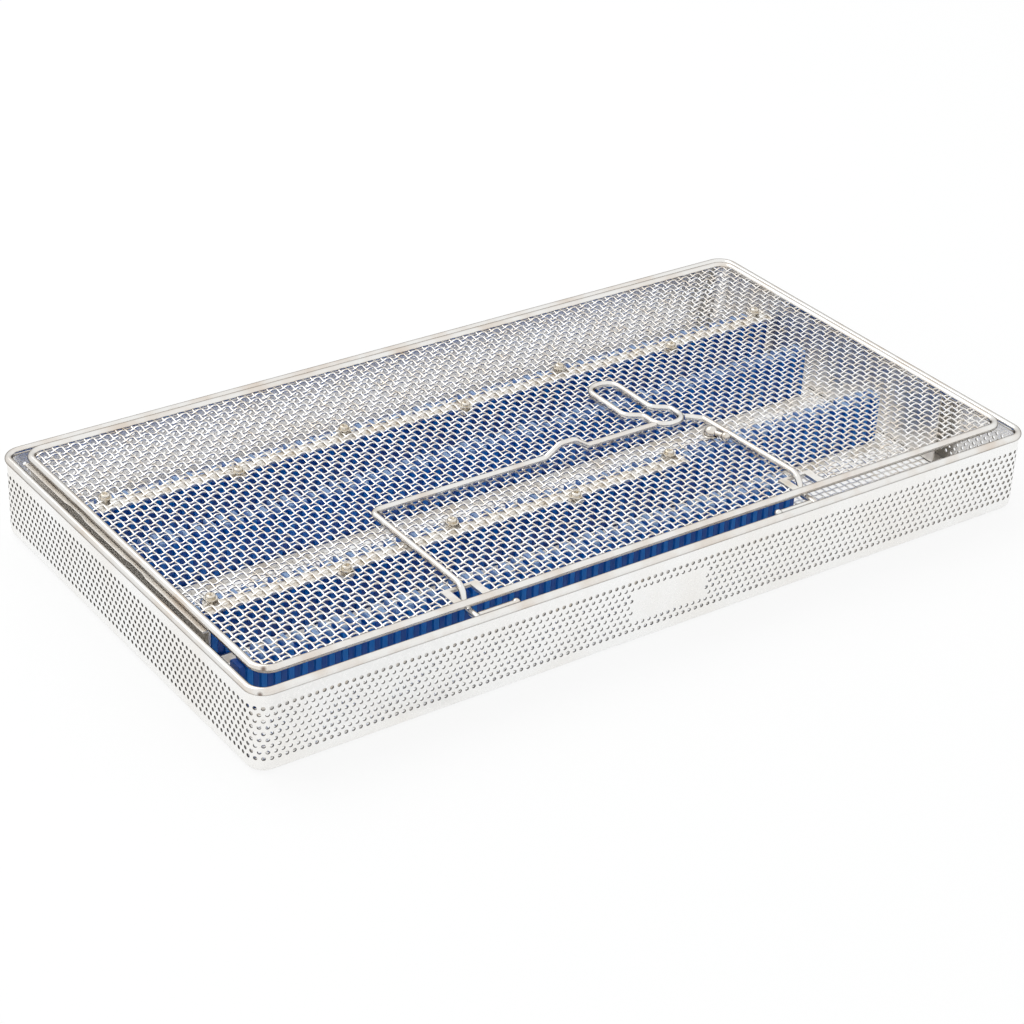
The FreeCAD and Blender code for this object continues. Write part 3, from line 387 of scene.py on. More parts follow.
def holed_cells(corners, hole):
    """Triangles and four-sided faces between the edges of cells and their holes."""
    low_left, low, low_right, high_right, high, high_left = corners
    # A hole's points are counted anticlockwise from the right, so the lists fit twelve.
    h = hole.T
    three = [(low_right, high_right, h[0]), (high_right, h[1], h[0]), (low_right, h[0], h[11]),
             (high_right, h[2], h[1]), (high_left, h[5], h[4]), (high_left, low_left, h[6]),
             (low_left, h[7], h[6]), (high_left, h[6], h[5]), (low_left, h[8], h[7]),
             (low_right, h[11], h[10])]
    four = [(high_right, high, h[3], h[2]), (high, high_left, h[4], h[3]),
            (low_left, low, h[9], h[8]), (low, low_right, h[10], h[9])]
    return [np.concatenate([np.stack(face, axis=1) for face in faces]) for faces in (three, four)]


def hole_edges(outer, inner):
    """Four-sided faces inside the holes, through the thickness of the sheet."""
    pairs = [(k, (k + 1) % HOLE_SIDES) for k in range(HOLE_SIDES)]
    return [np.stack([outer[:, k], outer[:, m], inner[:, m], inner[:, k]], axis=1) for k, m in pairs]


OUTER_TOP, INNER_TOP = 1, len(profile) - 2
holed = set(range(OUTER_TOP, OUTER_TOP + ROWS)) | set(range(INNER_TOP - ROWS, INNER_TOP))
quads = [band(i, i + 1) for i in range(len(profile) - 1) if i not in holed]
quads.append(band(len(profile) - 1, 0))
print("plain bands:", len(quads))

# %% Punch the rows of holes
angles = 2 * np.pi * np.arange(HOLE_SIDES) / HOLE_SIDES
hole_points, triangles, sixes, edges = [], [], [], []
next_point = len(rings)
for row in range(ROWS):
    middle = 1 + 2 * np.arange(COLUMNS) + row % 2
    centre = half_steps[0] + middle * PITCH / 2
    bare = (np.abs(centre - LABEL_MIDDLE) < LABEL_HALF) & (row in LABEL_ROWS)
    along = centre[~bare][:, None] + HOLE_RADIUS * np.cos(angles)
    height = TOP_ROW - ROW_STEP * row + HOLE_RADIUS * np.sin(angles) + 0 * along
    columns = [(middle + step) % WIDE for step in (-1, 0, 1)]
    for upper, lower, inset in ((OUTER_TOP + row, OUTER_TOP + row + 1, 0),
                                (INNER_TOP - row, INNER_TOP - row - 1, SHEET)):
        corners = [lower * WIDE + column for column in columns]
        corners += [upper * WIDE + column for column in columns[::-1]]
        hole = next_point + np.arange(along.size).reshape(along.shape)
        next_point += along.size
        hole_points.append(wrapped(along, height, inset).reshape(-1, 3))
        six = np.stack(corners, axis=1)[bare]
        three, four = holed_cells([corner[~bare] for corner in corners], hole)
        if inset:
            six, three, four = six[:, ::-1], three[:, ::-1], four[:, ::-1]
            edges += hole_edges(outer_hole, hole)
        outer_hole = hole
        triangles.append(three)
        quads.append(four)
        sixes.append(six)
print("holes:", sum(len(part) for part in hole_points) // (2 * HOLE_SIDES))

# %% The wall, with painted shade inside its holes
wall_points = np.concatenate([rings] + hole_points)
wall_faces = [np.concatenate(group) for group in (edges, triangles, quads, sixes)]
tray_shell = piece("tray_shell", wall_points, wall_faces, electropolished_sheet, "tray",
                   ["tray_wall"], sharp=50)
# The faces inside the holes get the painted shade and the duller gloss.
tray_shell.data.materials.append(shaded_hole_edge)
is_edge = np.zeros(len(tray_shell.data.polygons), np.int32)
is_edge[:len(wall_faces[0])] = 1
tray_shell.data.polygons.foreach_set("material_index", is_edge)
print("faces inside holes:", int(is_edge.sum()))

# %% [markdown]
# ## Bent wire and beads
#
# The rim, the lid's frame and the bail are round wire, bent cold round a former. Such
# a wire is a path of straight runs with round bends, and a circle carried along it.
# The circle is turned as little as possible from one point to the next, so the surface
# doesn't twist. An open end is rounded over, as a wire's end is after deburring.

# %% Paths with round bends
def bent_path(corners, radii, closed=False, step=9):
    """Straight runs with round bends, a point every few degrees of bend."""
    corners = [Vector(corner) for corner in corners]
    count = len(corners)
    points = [] if closed else [corners[0]]
    bends = range(count) if closed else range(1, count - 1)
    for radius, i in zip(radii, bends):
        before, corner, after = corners[i - 1], corners[i], corners[(i + 1) % count]
        into, out = (corner - before).normalized(), (after - corner).normalized()
        angle = into.angle(out)
        start = corner - into * (radius * math.tan(angle / 2))
        inward = (out - into * math.cos(angle)).normalized()
        parts = max(2, math.ceil(math.degrees(angle) / step))
        for k in range(parts + 1):
            t = angle * k / parts
            points.append(start + into * (radius * math.sin(t)) + inward * (radius * (1 - math.cos(t))))
    if not closed:
        points.append(corners[-1])
    return points


def rectangle(half_x, half_y, radius, height):
    """A closed path: a rectangle with round corners."""
    corners = [(-half_x, -half_y, height), (half_x, -half_y, height),
               (half_x, half_y, height), (-half_x, half_y, height)]
    return bent_path(corners, [radius] * 4, closed=True, step=6)


print("points round a rectangle's path:", len(rectangle(20, 10, 5, 0)))


# %% Tubes along a path
END_STEPS, END_LENGTH = (30, 55, 75), 0.5


def rounded_end(circle, direction):
    """Three shrinking circles beyond a wire's end, like the rubbed-down edge of a cut."""
    place, up, side, radius = circle
    shrinking = []
    for degrees in END_STEPS:
        angle = math.radians(degrees)
        out = direction * (radius * END_LENGTH * math.sin(angle))
        shrinking.append((place + out, up, side, radius * math.cos(angle)))
    return shrinking


def tube(points, radius, sides, closed=False, round_ends=(True, True)):
    """Points and groups of faces of a round wire along a path."""
    count = len(points)
    ahead = [points[(i + 1) % count] - points[i] for i in range(count)]
    tangents = []
    for i in range(count):
        before = ahead[i - 1] if closed or i > 0 else ahead[0]
        after = ahead[i] if closed or i < count - 1 else ahead[i - 1]
        tangents.append((before.normalized() + after.normalized()).normalized())
    up = Vector((0, 0, 1))
    circles = []
    for place, tangent in zip(points, tangents):
        up = (up - tangent * up.dot(tangent)).normalized()
        circles.append((place, up.copy(), tangent.cross(up), radius))
    if not closed and round_ends[0]:
        circles = rounded_end(circles[0], -tangents[0])[::-1] + circles
    if not closed and round_ends[1]:
        circles += rounded_end(circles[-1], tangents[-1])
    made = []
    for place, up, side, size in circles:
        for k in range(sides):
            angle = 2 * math.pi * k / sides
            made.append(place + up * (size * math.cos(angle)) + side * (size * math.sin(angle)))
    faces = [face[::-1] for face in skin(len(circles), sides, closed)]
    if closed:
        return made, [faces]
    last = (len(circles) - 1) * sides
    return made, [faces, [list(range(sides)), [last + k for k in range(sides)][::-1]]]


# %% The rim bead and the lid's frame
RIM_RADIUS, RIM_HEIGHT, RIM_INSET = 2.05, 44.9, 1.0
LID_RADIUS, LID_HEIGHT = 2.1, 48.5
LID_HALF_LENGTH, LID_HALF_WIDTH, LID_CORNER = 232.65, 119.85, 9.0
FRAME_SIDES = 24

rim = rectangle(HALF_LENGTH - RIM_INSET, HALF_WIDTH - RIM_INSET, CORNER - RIM_INSET, RIM_HEIGHT)
points, groups = tube(rim, RIM_RADIUS, FRAME_SIDES, closed=True)
piece("rim_bead", points, groups, bright_drawn_wire, "tray", ["tray_rim"])

lid_edge = rectangle(LID_HALF_LENGTH, LID_HALF_WIDTH, LID_CORNER, LID_HEIGHT)
points, groups = tube(lid_edge, LID_RADIUS, FRAME_SIDES, closed=True)
piece("lid_edge_wire", points, groups, bright_drawn_wire, "lid", ["lid_frame"])

# %% [markdown]
# ## Woven wire
#
# The lid and the floor are plain-woven mesh: every wire goes over one crossing wire
# and under the next, 4.6 mm apart. Two sets of wires with a cosine wave in their
# height, each set half a wave out of step with its neighbours, cross as woven wires do.
# The lid's long wires were crimped before weaving and wave more than its cross wires,
# and the two waves add up to one wire's thickness, so the wires just touch. The floor's
# wires wave half as much and sink into each other, as if rolled flat. A wire is a thin
# tube, of six sides in the lid and four in the floor, worked out whole at once. It stops
# where a slot or a frame cuts it.

# %% Where a wire is cut, and how it waves
WEAVE_PITCH, WEAVE_RADIUS = 4.6, 0.5


def inside(x, y, half_x, half_y, corner, cutouts):
    """Which points lie in the rounded rectangle and in none of the cutouts."""
    over_x = np.maximum(np.abs(x) - (half_x - corner), 0)
    over_y = np.maximum(np.abs(y) - (half_y - corner), 0)
    kept = (np.hypot(over_x, over_y) <= corner)
    for left, right, front, back in cutouts:
        kept &= ~((x > left) & (x < right) & (y > front) & (y < back))
    return kept


def wavy_rings(places, line, height, wave, phase, spin, across):
    """Rings of points round one wavy wire, square to its slope."""
    slope = -wave * np.pi / WEAVE_PITCH * np.sin(phase)
    along = 1 / np.hypot(1, slope)
    rise = WEAVE_RADIUS * np.sin(spin)[None, :]
    run_part = places[:, None] - rise * (slope * along)[:, None]
    line_part = line + WEAVE_RADIUS * np.cos(spin)[None, :] + 0 * run_part
    z_part = (height + wave * np.cos(phase))[:, None] + rise * along[:, None]
    order = (line_part, run_part) if across else (run_part, line_part)
    return np.stack([*order, z_part], axis=-1)


print("a wire crosses", int(2 * LID_HALF_WIDTH / WEAVE_PITCH) + 1, "others from front to back")


# %% A plain weave inside a rounded rectangle
def woven(half_x, half_y, corner, height, waves, samples, sides, cutouts=()):
    """Points, and groups of side and end faces, of a plain weave."""
    points, quads, ends = [], [], []
    first = 0
    k = np.arange(sides)
    m = (k + 1) % sides
    spin = 2 * np.pi * (k + 0.5) / sides
    for across, wave in zip((False, True), waves):
        run, other = (half_y, half_x) if across else (half_x, half_y)
        reach = int(run / WEAVE_PITCH) + 1
        places = np.arange(-reach * samples, reach * samples + 1) * WEAVE_PITCH / samples
        wires = int(2 * other / WEAVE_PITCH)
        for number in range(wires + 1):
            line = (number - wires / 2) * WEAVE_PITCH
            level = np.full_like(places, line)
            x, y = (level, places) if across else (places, level)
            kept = inside(x, y, half_x, half_y, corner, cutouts)
            if kept.sum() < 2:
                continue
            phase = np.pi * (places / WEAVE_PITCH + (number - wires // 2) + (1 if across else 0))
            circles = wavy_rings(places, line, height, wave, phase, spin, across)
            points.append(circles[kept].reshape(-1, 3))
            index_of = np.full(len(places), -1)
            index_of[kept] = first + np.arange(kept.sum()) * sides
            first += kept.sum() * sides
            joined = kept[:-1] & kept[1:]
            a, b = index_of[:-1][joined][:, None], index_of[1:][joined][:, None]
            faces = np.stack([a + k, b + k, b + m, a + m], axis=-1).reshape(-1, 4)
            begin = kept & ~np.concatenate([[False], kept[:-1]])
            end = kept & ~np.concatenate([kept[1:], [False]])
            caps = [index_of[begin][:, None] + k, index_of[end][:, None] + k[::-1]]
            quads.append(faces if across else faces[:, ::-1])
            ends += [cap[:, ::-1] for cap in caps] if across else caps
    return np.concatenate(points), [np.concatenate(quads), np.concatenate(ends)]


# %% The lid's mesh with its two slots, and the floor's mesh
LEG_X = (-114.45, 96.75)
SLOT_HALF, SLOT_BACK = 10.5, -105.35
LID_WEAVE_DROP, LID_WAVES = 0.15, (0.72, 0.28)
FLOOR_ABOVE_FLANGE, FLOOR_INSET, FLOOR_WAVES = 0.8, 4.1, (0.25, 0.25)

slots = [(x - SLOT_HALF, x + SLOT_HALF, -LID_HALF_WIDTH, SLOT_BACK) for x in LEG_X]
points, groups = woven(LID_HALF_LENGTH, LID_HALF_WIDTH, LID_CORNER, LID_HEIGHT - LID_WEAVE_DROP,
                       LID_WAVES, samples=6, sides=6, cutouts=slots)
piece("lid_weave", points, groups, woven_wire, "lid", ["lid_mesh"], sharp=60)

points, groups = woven(HALF_LENGTH - FLOOR_INSET, HALF_WIDTH - FLOOR_INSET, CORNER - FLOOR_INSET,
                       SHEET + FLOOR_ABOVE_FLANGE, FLOOR_WAVES, samples=4, sides=4)
piece("floor_weave", points, groups, floor_wire, "tray", ["tray_floor"], sharp=60)

# %% [markdown]
# ## Silicone combs
#
# Each comb is one moulded strip with fingers along its top, 3.75 mm apart, between which
# instrument shafts are pressed. Every second finger is tall and stands proud of the
# strip's faces, which gives the stripes that show from the side, and the one between is
# a low rest. The strip is drawn as a row of cross-sections: a section through a finger
# is tall, one through a gap is low, and the short slanted step between them is the
# moulded radius at a finger's root. Its channel is one cross-section carried along.

# %% A solid from cross-sections
def swept(sections):
    """Points and groups of faces of a solid through equal cross-sections."""
    n = len(sections[0])
    faces = [[a, d, c, b] for a, b, c, d in skin(len(sections), n)]
    last = (len(sections) - 1) * n
    ends = [list(range(n)), [last + k for k in range(n)][::-1]]
    return [point for section in sections for point in section], [faces, ends]


# %% A comb
COMB_LOW, COMB_HIGH, REST_HIGH = 3.4, 36.0, 31.4
COMB_HALF, RIB, COMB_SOFT = 5.5, 0.9, 0.9
FINGER_PITCH, FINGER_GAP, FINGER_DEPTH = TALL_PITCH / 2, 0.85, 7.0
EDGE_RUN, EDGE_DROP, EDGE_TAPER = 0.2, 0.3, 0.15
# The middle point of the rounding, as shares of its radius inwards and down.
SOFT_IN, SOFT_DOWN = 0.25, 0.3


def comb_section(x, y, top, half):
    """One closed cross-section of a comb, its upper edges rounded."""
    right = [(half, COMB_LOW), (half, top - COMB_SOFT),
             (half - SOFT_IN * COMB_SOFT, top - SOFT_DOWN * COMB_SOFT), (half - COMB_SOFT, top)]
    outline = [(-half, COMB_LOW)] + right + [(-a, z) for a, z in right[:0:-1]]
    return [(x, y + a, z) for a, z in outline]


def comb_mesh(y, length):
    """One comb: four sections through each finger, and two through each gap."""
    gap = (COMB_HIGH - FINGER_DEPTH + EDGE_DROP, COMB_HALF - RIB - EDGE_TAPER)
    fingers = int(length / FINGER_PITCH)
    sections = []
    for k in range(fingers):
        top, half = (COMB_HIGH, COMB_HALF) if k % 2 else (REST_HIGH, COMB_HALF - RIB)
        end = (top - EDGE_DROP, half - EDGE_TAPER)
        start = COMB_START + k * FINGER_PITCH
        stop, after = start + FINGER_PITCH - FINGER_GAP, start + FINGER_PITCH
        stations = [(start, *end), (start + EDGE_RUN, top, half), (stop - EDGE_RUN, top, half), (stop, *end)]
        if k < fingers - 1:
            stations += [(stop + EDGE_RUN / 2, *gap), (after - EDGE_RUN / 2, *gap)]
        sections += [comb_section(x, y, high, wide) for x, high, wide in stations]
    return swept(sections)


# %% A channel
RAIL_HALF, RAIL_LOW, RAIL_HIGH, RAIL_SHEET = 6.7, 2.4, 7.4, 1.0
RAIL_BEND, RAIL_LEAD = 0.3, 1.8


def rail_mesh(y, length):
    """A channel folded from sheet, open at the top."""
    wide, low, high = RAIL_HALF, RAIL_LOW, RAIL_HIGH
    inner, inner_low = RAIL_HALF - RAIL_SHEET, RAIL_LOW + RAIL_SHEET
    outline = [(-wide, high), (-wide, low + RAIL_BEND), (RAIL_BEND - wide, low), (wide - RAIL_BEND, low),
               (wide, low + RAIL_BEND), (wide, high), (inner, high), (inner, inner_low),
               (-inner, inner_low), (-inner, high)]
    stations = np.linspace(COMB_START - RAIL_LEAD, COMB_START + length, 3)
    return swept([[(x, y + a, z) for a, z in outline] for x in stations])


# %% Four combs in their channels
# Each comb's number, its place across the tray and its length.
COMBS = [("1", 74.2, 454.0), ("2", 27.2, 442.5), ("3", -37.3, 446.0), ("4", -84.8, 342.5)]

for number, y, length in COMBS:
    points, groups = comb_mesh(y, length)
    piece("silicone_comb_" + number, points, groups, moulded_silicone, "tray",
          ["comb_" + number], sharp=30)
    points, groups = rail_mesh(y, length)
    piece("channel_" + number, points, groups, bead_blasted_strip, "tray",
          ["comb_rail_" + number])

# %% [markdown]
# ## Side plates
#
# Inside each end wall stands a plate folded from sheet, on whose upper edge the lid's
# frame rests. From above that edge is a narrow pale strip beside the dark gap to the
# rim, and it steps back a little in two places. The plate is one cross-section swept
# along the wall, with the edge's width changing on the way.

# %% Folded plates with a tabbed upper edge
PLATE_FRONT, PLATE_BACK = -73.4, 113.6
PLATE_LOW, PLATE_HIGH, PLATE_FACE, PLATE_SHEET = 2.4, 46.1, 232.2, 1.0
TAB_EDGE, CUT_EDGE, FOOT_EDGE = 236.5, 235.7, 240.0
CUTS, CUT_STEP = [(-18.0, 4.0), (46.0, 68.0)], 5
OUTER_BEND, BEND_MIDDLE, INNER_BEND, PLATE_SOFT = 0.5, 0.15, 0.4, 0.2


def upper_edge(y):
    """How far out the upper edge reaches, with soft steps at the cuts."""
    depth = max(max(0.0, min(1.0, (y - a) / CUT_STEP, (b - y) / CUT_STEP)) for a, b in CUTS)
    return TAB_EDGE - (TAB_EDGE - CUT_EDGE) * depth


def plate_section(side, y):
    """The upright sheet, with its foot and its upper edge both turned outwards."""
    face, back, edge = PLATE_FACE, PLATE_FACE + PLATE_SHEET, upper_edge(y)
    top, under, foot = PLATE_HIGH, PLATE_HIGH - PLATE_SHEET, PLATE_LOW + PLATE_SHEET
    outline = [(face, PLATE_LOW), (face, top - OUTER_BEND), (face + BEND_MIDDLE, top - BEND_MIDDLE),
               (face + OUTER_BEND, top), (edge - PLATE_SOFT, top), (edge, top - PLATE_SOFT), (edge, under),
               (back + INNER_BEND, under), (back, under - INNER_BEND), (back, foot + INNER_BEND),
               (back + INNER_BEND, foot), (FOOT_EDGE, foot), (FOOT_EDGE, PLATE_LOW)]
    return [(side * x, y, z) for x, z in outline]


steps = {y for a, b in CUTS for y in (a, a + CUT_STEP, b - CUT_STEP, b)}
stations = sorted({PLATE_FRONT, PLATE_BACK} | steps)
for name, side in (("left", -1), ("right", 1)):
    points, groups = swept([plate_section(side, y) for y in stations])
    piece("rest_plate_" + name, points, groups, brushed_plate, "tray", ["side_plate_" + name])

# %% [markdown]
# ## Screws, washers and nuts
#
# Twelve small machine screws clamp two steel strips under the lid. They are turned and
# rolled parts, tinted gold by the heat of many sterilizing rounds. A turned part is a
# profile spun round an axis. The cross recess in the head is pressed in afterwards, so
# here the head's middle rings are pushed down wherever they lie in the cross.

# %% Turned shapes
def spun(profile, sides, centre):
    """A solid of revolution; the profile runs from the bottom to the top."""
    points = []
    for radius, z in profile:
        for k in range(sides):
            angle = 2 * math.pi * k / sides
            points.append((centre[0] + radius * math.cos(angle), centre[1] + radius * math.sin(angle), z))
    faces = skin(len(profile), sides)
    faces.append(list(range(sides))[::-1])
    faces.append([(len(profile) - 1) * sides + k for k in range(sides)])
    return points, faces


# %% A screw
SHANK, SHANK_TIP = 1.5, 43.9
HEAD, HEAD_LOW, HEAD_HIGH = 2.5, 50.0, 51.9
CROSS_HALF, CROSS_REACH, CROSS_DEPTH = 0.55, 1.65, 1.1
CROSS_SOFT, CROSS_END_SOFT = 0.15, 0.3
TURNED_SIDES = 32


def in_cross(x, y):
    """1 inside the cross recess, 0 outside, with a soft edge."""
    narrow, wide = sorted((abs(x), abs(y)))
    beside = max(0.0, min(1.0, (CROSS_HALF - narrow) / CROSS_SOFT))
    beyond = max(0.0, min(1.0, (CROSS_REACH - wide) / CROSS_END_SOFT))
    return beside * beyond


def screw(centre, turned):
    """A pan-head screw with its cross turned by an angle."""
    # Up the shank, out along the head's underside, round its edge and over its top.
    profile = [(SHANK - 0.4, SHANK_TIP), (SHANK, SHANK_TIP + 0.4), (SHANK, HEAD_LOW), (HEAD - 0.05, HEAD_LOW),
               (HEAD, HEAD_LOW + 0.15), (HEAD, HEAD_LOW + 0.9), (HEAD - 0.15, HEAD_LOW + 1.4),
               (HEAD - 0.45, HEAD_HIGH - 0.2), (HEAD - 0.75, HEAD_HIGH - 0.05)]
    profile += [(0.25 * k, HEAD_HIGH) for k in range(6, 0, -1)]
    points, faces = spun(profile, TURNED_SIDES, centre)
    cosine, sine = math.cos(turned), math.sin(turned)
    sunk = []
    for x, y, z in points:
        if z > HEAD_HIGH - 0.06:
            a, b = x - centre[0], y - centre[1]
            z -= CROSS_DEPTH * in_cross(a * cosine + b * sine, b * cosine - a * sine)
        sunk.append((x, y, z))
    return sunk, faces


print("screw under its head:", round(HEAD_LOW - SHANK_TIP, 1), "mm long")

# %% A washer or a nut
HOLE_SOFT = 0.1


def ring_shape(centre, inner, outer, low, high, sides, soft, flats=None):
    """A ring with softened edges round a hole, and with flats outside if it is a nut."""
    profile = [(outer - soft, low), (outer, low + soft), (outer, high - soft), (outer - soft, high),
               (inner + HOLE_SOFT, high), (inner, high - HOLE_SOFT), (inner, low + HOLE_SOFT),
               (inner + HOLE_SOFT, low)]
    points = []
    for radius, z in profile:
        for k in range(sides):
            angle = 2 * math.pi * k / sides
            size = radius
            if flats and radius > inner + HOLE_SOFT:
                part = 2 * math.pi / flats
                size = radius * math.cos(part / 2) / math.cos(angle % part - part / 2)
            points.append((centre[0] + size * math.cos(angle), centre[1] + size * math.sin(angle), z))
    return points, skin(len(profile), sides, closed=True)


# %% Twelve sets of fasteners
ZIGZAG = 5.4
FIRST_TURN, TURN_STEP = 0.4, 1.7
WASHER = {"inner": 1.6, "outer": 3.4, "low": 49.35, "high": 50.0, "sides": TURNED_SIDES, "soft": 0.12}
NUT = {"inner": 1.6, "outer": 3.1, "low": 44.5, "high": 46.7, "sides": 36, "soft": 0.2, "flats": 6}


def screw_row(first_x, pitch, y, count):
    """Places of the screws of one strip, in zigzag."""
    return [(first_x + pitch * k, y + (ZIGZAG if k % 2 == 0 else -ZIGZAG)) for k in range(count)]


places = screw_row(first_x=-219.65, pitch=70.6, y=51.1, count=7)
places += screw_row(first_x=-221.25, pitch=68.9, y=-59.4, count=5)
screws, washers, nuts = Parts(), Parts(), Parts()
for number, centre in enumerate(places):
    screws.add(*screw(centre, FIRST_TURN + TURN_STEP * number))
    washers.add(*ring_shape(centre, **WASHER))
    nuts.add(*ring_shape(centre, **NUT))
for name, parts in (("screws", screws), ("washers", washers), ("nuts", nuts)):
    piece("clamp_" + name, parts.points, parts.groups(), gold_tinted_fastener, "lid",
          ["lid_" + name])

# %% [markdown]
# ## The bail
#
# The bail is the hardest piece of the real basket: one wire of 3.5 mm, bent into a leg
# and a crossbar with a raised hump for a finger, and a flat ring with a jog in it, to
# which the second leg is welded. Both legs dive through a slot in the lid and run
# forward under the lid's front wire, where the tray's rim keeps them. Each path is
# written as corners, as a bender would read them, and each corner has its radius.

# %% The bail's bar with its left leg
BAIL_RADIUS, BAIL_HEIGHT, BAIL_SIDES = 1.75, 51.35, 20
LOW_LEVEL, DIVE_Y, LOW_Y, TIP_Y, DIVE_SHIFT = 43.8, -108.6, -115.6, -127.1, 2.9
CROSSBAR_Y, CROSSBAR_END = -27.25, 65.4
HUMP_START, HUMP_STEP, HUMP_HEIGHT = -6.85, 9.0, 57.35
FOOT_RADIUS, DIVE_RADIUS, BAR_RADIUS = 6.5, 11.0, 5.0


def leg(x_top, x_slot, y_top):
    """Corners of a leg, from its top to its tip under the front wire."""
    return [(x_top, y_top, BAIL_HEIGHT), (x_slot, DIVE_Y, BAIL_HEIGHT),
            (x_slot - DIVE_SHIFT, LOW_Y, LOW_LEVEL), (x_slot - DIVE_SHIFT, TIP_Y, LOW_LEVEL)]


bar_heights = [BAIL_HEIGHT, HUMP_HEIGHT, HUMP_HEIGHT, BAIL_HEIGHT]
crossbar = [(HUMP_START + HUMP_STEP * k, CROSSBAR_Y, z) for k, z in enumerate(bar_heights)]
corners = leg(LEG_X[0], LEG_X[0], CROSSBAR_Y)[::-1] + crossbar + [(CROSSBAR_END, CROSSBAR_Y, BAIL_HEIGHT)]
path = bent_path(corners, [FOOT_RADIUS, DIVE_RADIUS] + [BAR_RADIUS] * 5)
points, groups = tube(path, BAIL_RADIUS, BAIL_SIDES, round_ends=(True, False))
piece("bail_bar", points, groups, bright_drawn_wire, "bail", ["bail_wire"])

# %% The finger ring and the right leg
RING_LEFT, RING_RIGHT, RING_FRONT, RING_BACK = 57.55, 75.55, -30.85, 25.45
JOG, JOG_FRONT, JOG_BACK = 8.9, -16.25, -10.25
RING_RADIUS, JOG_RADIUS, WELD_RADIUS = 8.2, 5, 3.0
WELD_END, SPLAY_START = (85.4, -28.25, BAIL_HEIGHT), (92.55, -35.35)

right_side = [(RING_RIGHT + JOG, RING_FRONT), (RING_RIGHT + JOG, JOG_FRONT),
              (RING_RIGHT, JOG_BACK), (RING_RIGHT, RING_BACK)]
ring_width = RING_RIGHT - RING_LEFT
left_side = [(x - ring_width, y) for x, y in right_side[::-1]]
ring_corners = [(x, y, BAIL_HEIGHT) for x, y in right_side + left_side]
ring_path = bent_path(ring_corners, [RING_RADIUS, JOG_RADIUS, JOG_RADIUS, RING_RADIUS] * 2, closed=True)
points, groups = tube(ring_path, BAIL_RADIUS, BAIL_SIDES, closed=True)
piece("bail_ring", points, groups, bright_drawn_wire, "bail", ["finger_ring"])

corners = [WELD_END] + leg(SPLAY_START[0], LEG_X[1], SPLAY_START[1])
path = bent_path(corners, [WELD_RADIUS, DIVE_RADIUS, FOOT_RADIUS])
points, groups = tube(path, BAIL_RADIUS, BAIL_SIDES, round_ends=(False, True))
piece("bail_leg", points, groups, bright_drawn_wire, "bail", ["bail_right_leg"])


# %% Pins with beads at the feet
ROOT_SHARE, ROOT_LENGTH = 0.8, 0.3
BEAD_RINGS, BEAD_POLE = 10, 0.2


def beaded_pin(start, direction, length, pin, bead):
    """A pin that swells into a round bead around its far end."""
    neck = math.pi - math.asin(pin / bead)
    turns = np.linspace(neck, BEAD_POLE, BEAD_RINGS)
    rows = [(0, pin * ROOT_SHARE), (ROOT_LENGTH, pin)]
    rows += [(length + bead * math.cos(a), bead * math.sin(a)) for a in turns]
    along = Vector(direction).normalized()
    up = Vector((0, 0, 1))
    side = along.cross(up)
    points = []
    for distance, radius in rows:
        for k in range(BAIL_SIDES):
            angle = 2 * math.pi * k / BAIL_SIDES
            offset = up * (radius * math.cos(angle)) + side * (radius * math.sin(angle))
            points.append(Vector(start) + along * distance + offset)
    faces = [[a, d, c, b] for a, b, c, d in skin(len(rows), BAIL_SIDES)]
    faces.append(list(range(BAIL_SIDES)))
    faces.append([(len(rows) - 1) * BAIL_SIDES + k for k in range(BAIL_SIDES)][::-1])
    return points, faces


PIN_Y, PIN_LENGTH, PIN_RADIUS, PIN_BEAD = -125.25, 21.9, 1.6, 2.3
PIN_ROOT = BAIL_RADIUS - 0.2

pins = Parts()
for x, inward in zip(LEG_X, (1, -1)):
    root = (x - DIVE_SHIFT + inward * PIN_ROOT, PIN_Y, LOW_LEVEL)
    pins.add(*beaded_pin(root, (inward, 0, 0), PIN_LENGTH, PIN_RADIUS, PIN_BEAD))
piece("foot_pins", pins.points, pins.groups(), bright_drawn_wire, "bail",
      ["foot_pin_left", "foot_pin_right"])

# %% The catch: a ball on a flat button, and an arm that ends in a smaller ball
CATCH_PLACE, BALL, BALL_HEIGHT = (86.15, -49.45), 3.6, 51.5
BUTTON, BUTTON_LOW, BUTTON_HIGH, BUTTON_SOFT = 4.35, 49.35, 50.35, 0.25
ARM_ROOT, ARM_DIRECTION, ARM_LENGTH = (87.0, -51.8, 51.9), (3.18, -8.6, 0), 6.6
ARM_RADIUS, ARM_BALL = 1.5, 2.6

knob = [(BUTTON - BUTTON_SOFT, BUTTON_LOW), (BUTTON, BUTTON_LOW + BUTTON_SOFT),
        (BUTTON, BUTTON_HIGH - BUTTON_SOFT), (BUTTON - BUTTON_SOFT, BUTTON_HIGH), (2.0, BUTTON_HIGH + 0.1)]
knob += [(BALL * math.sin(a), BALL_HEIGHT - BALL * math.cos(a)) for a in np.radians(range(76, 180, 10))]
catch = Parts()
catch.add(*spun(knob, TURNED_SIDES, CATCH_PLACE))
catch.add(*beaded_pin(ARM_ROOT, ARM_DIRECTION, ARM_LENGTH, ARM_RADIUS, ARM_BALL))
piece("leg_catch", catch.points, catch.groups(), turned_ball, "lid", ["bail_catch"])

# %% [markdown]
# ## CAD pieces that only need a finish
#
# The strips under the lid and the flat frames round the slots are plain cut strip, so
# their CAD shapes are kept.

# %% Finish the cut strips
CUT_STRIPS = ["slot_frame_left", "slot_frame_right", "hold_strip_back", "hold_strip_front"]

for node in CUT_STRIPS:
    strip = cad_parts[node]
    if len(strip.material_slots) == 0:
        strip.data.materials.append(bead_blasted_strip)
    for material_slot in strip.material_slots:
        material_slot.material = bead_blasted_strip
print("CAD pieces finished:", len(CUT_STRIPS))

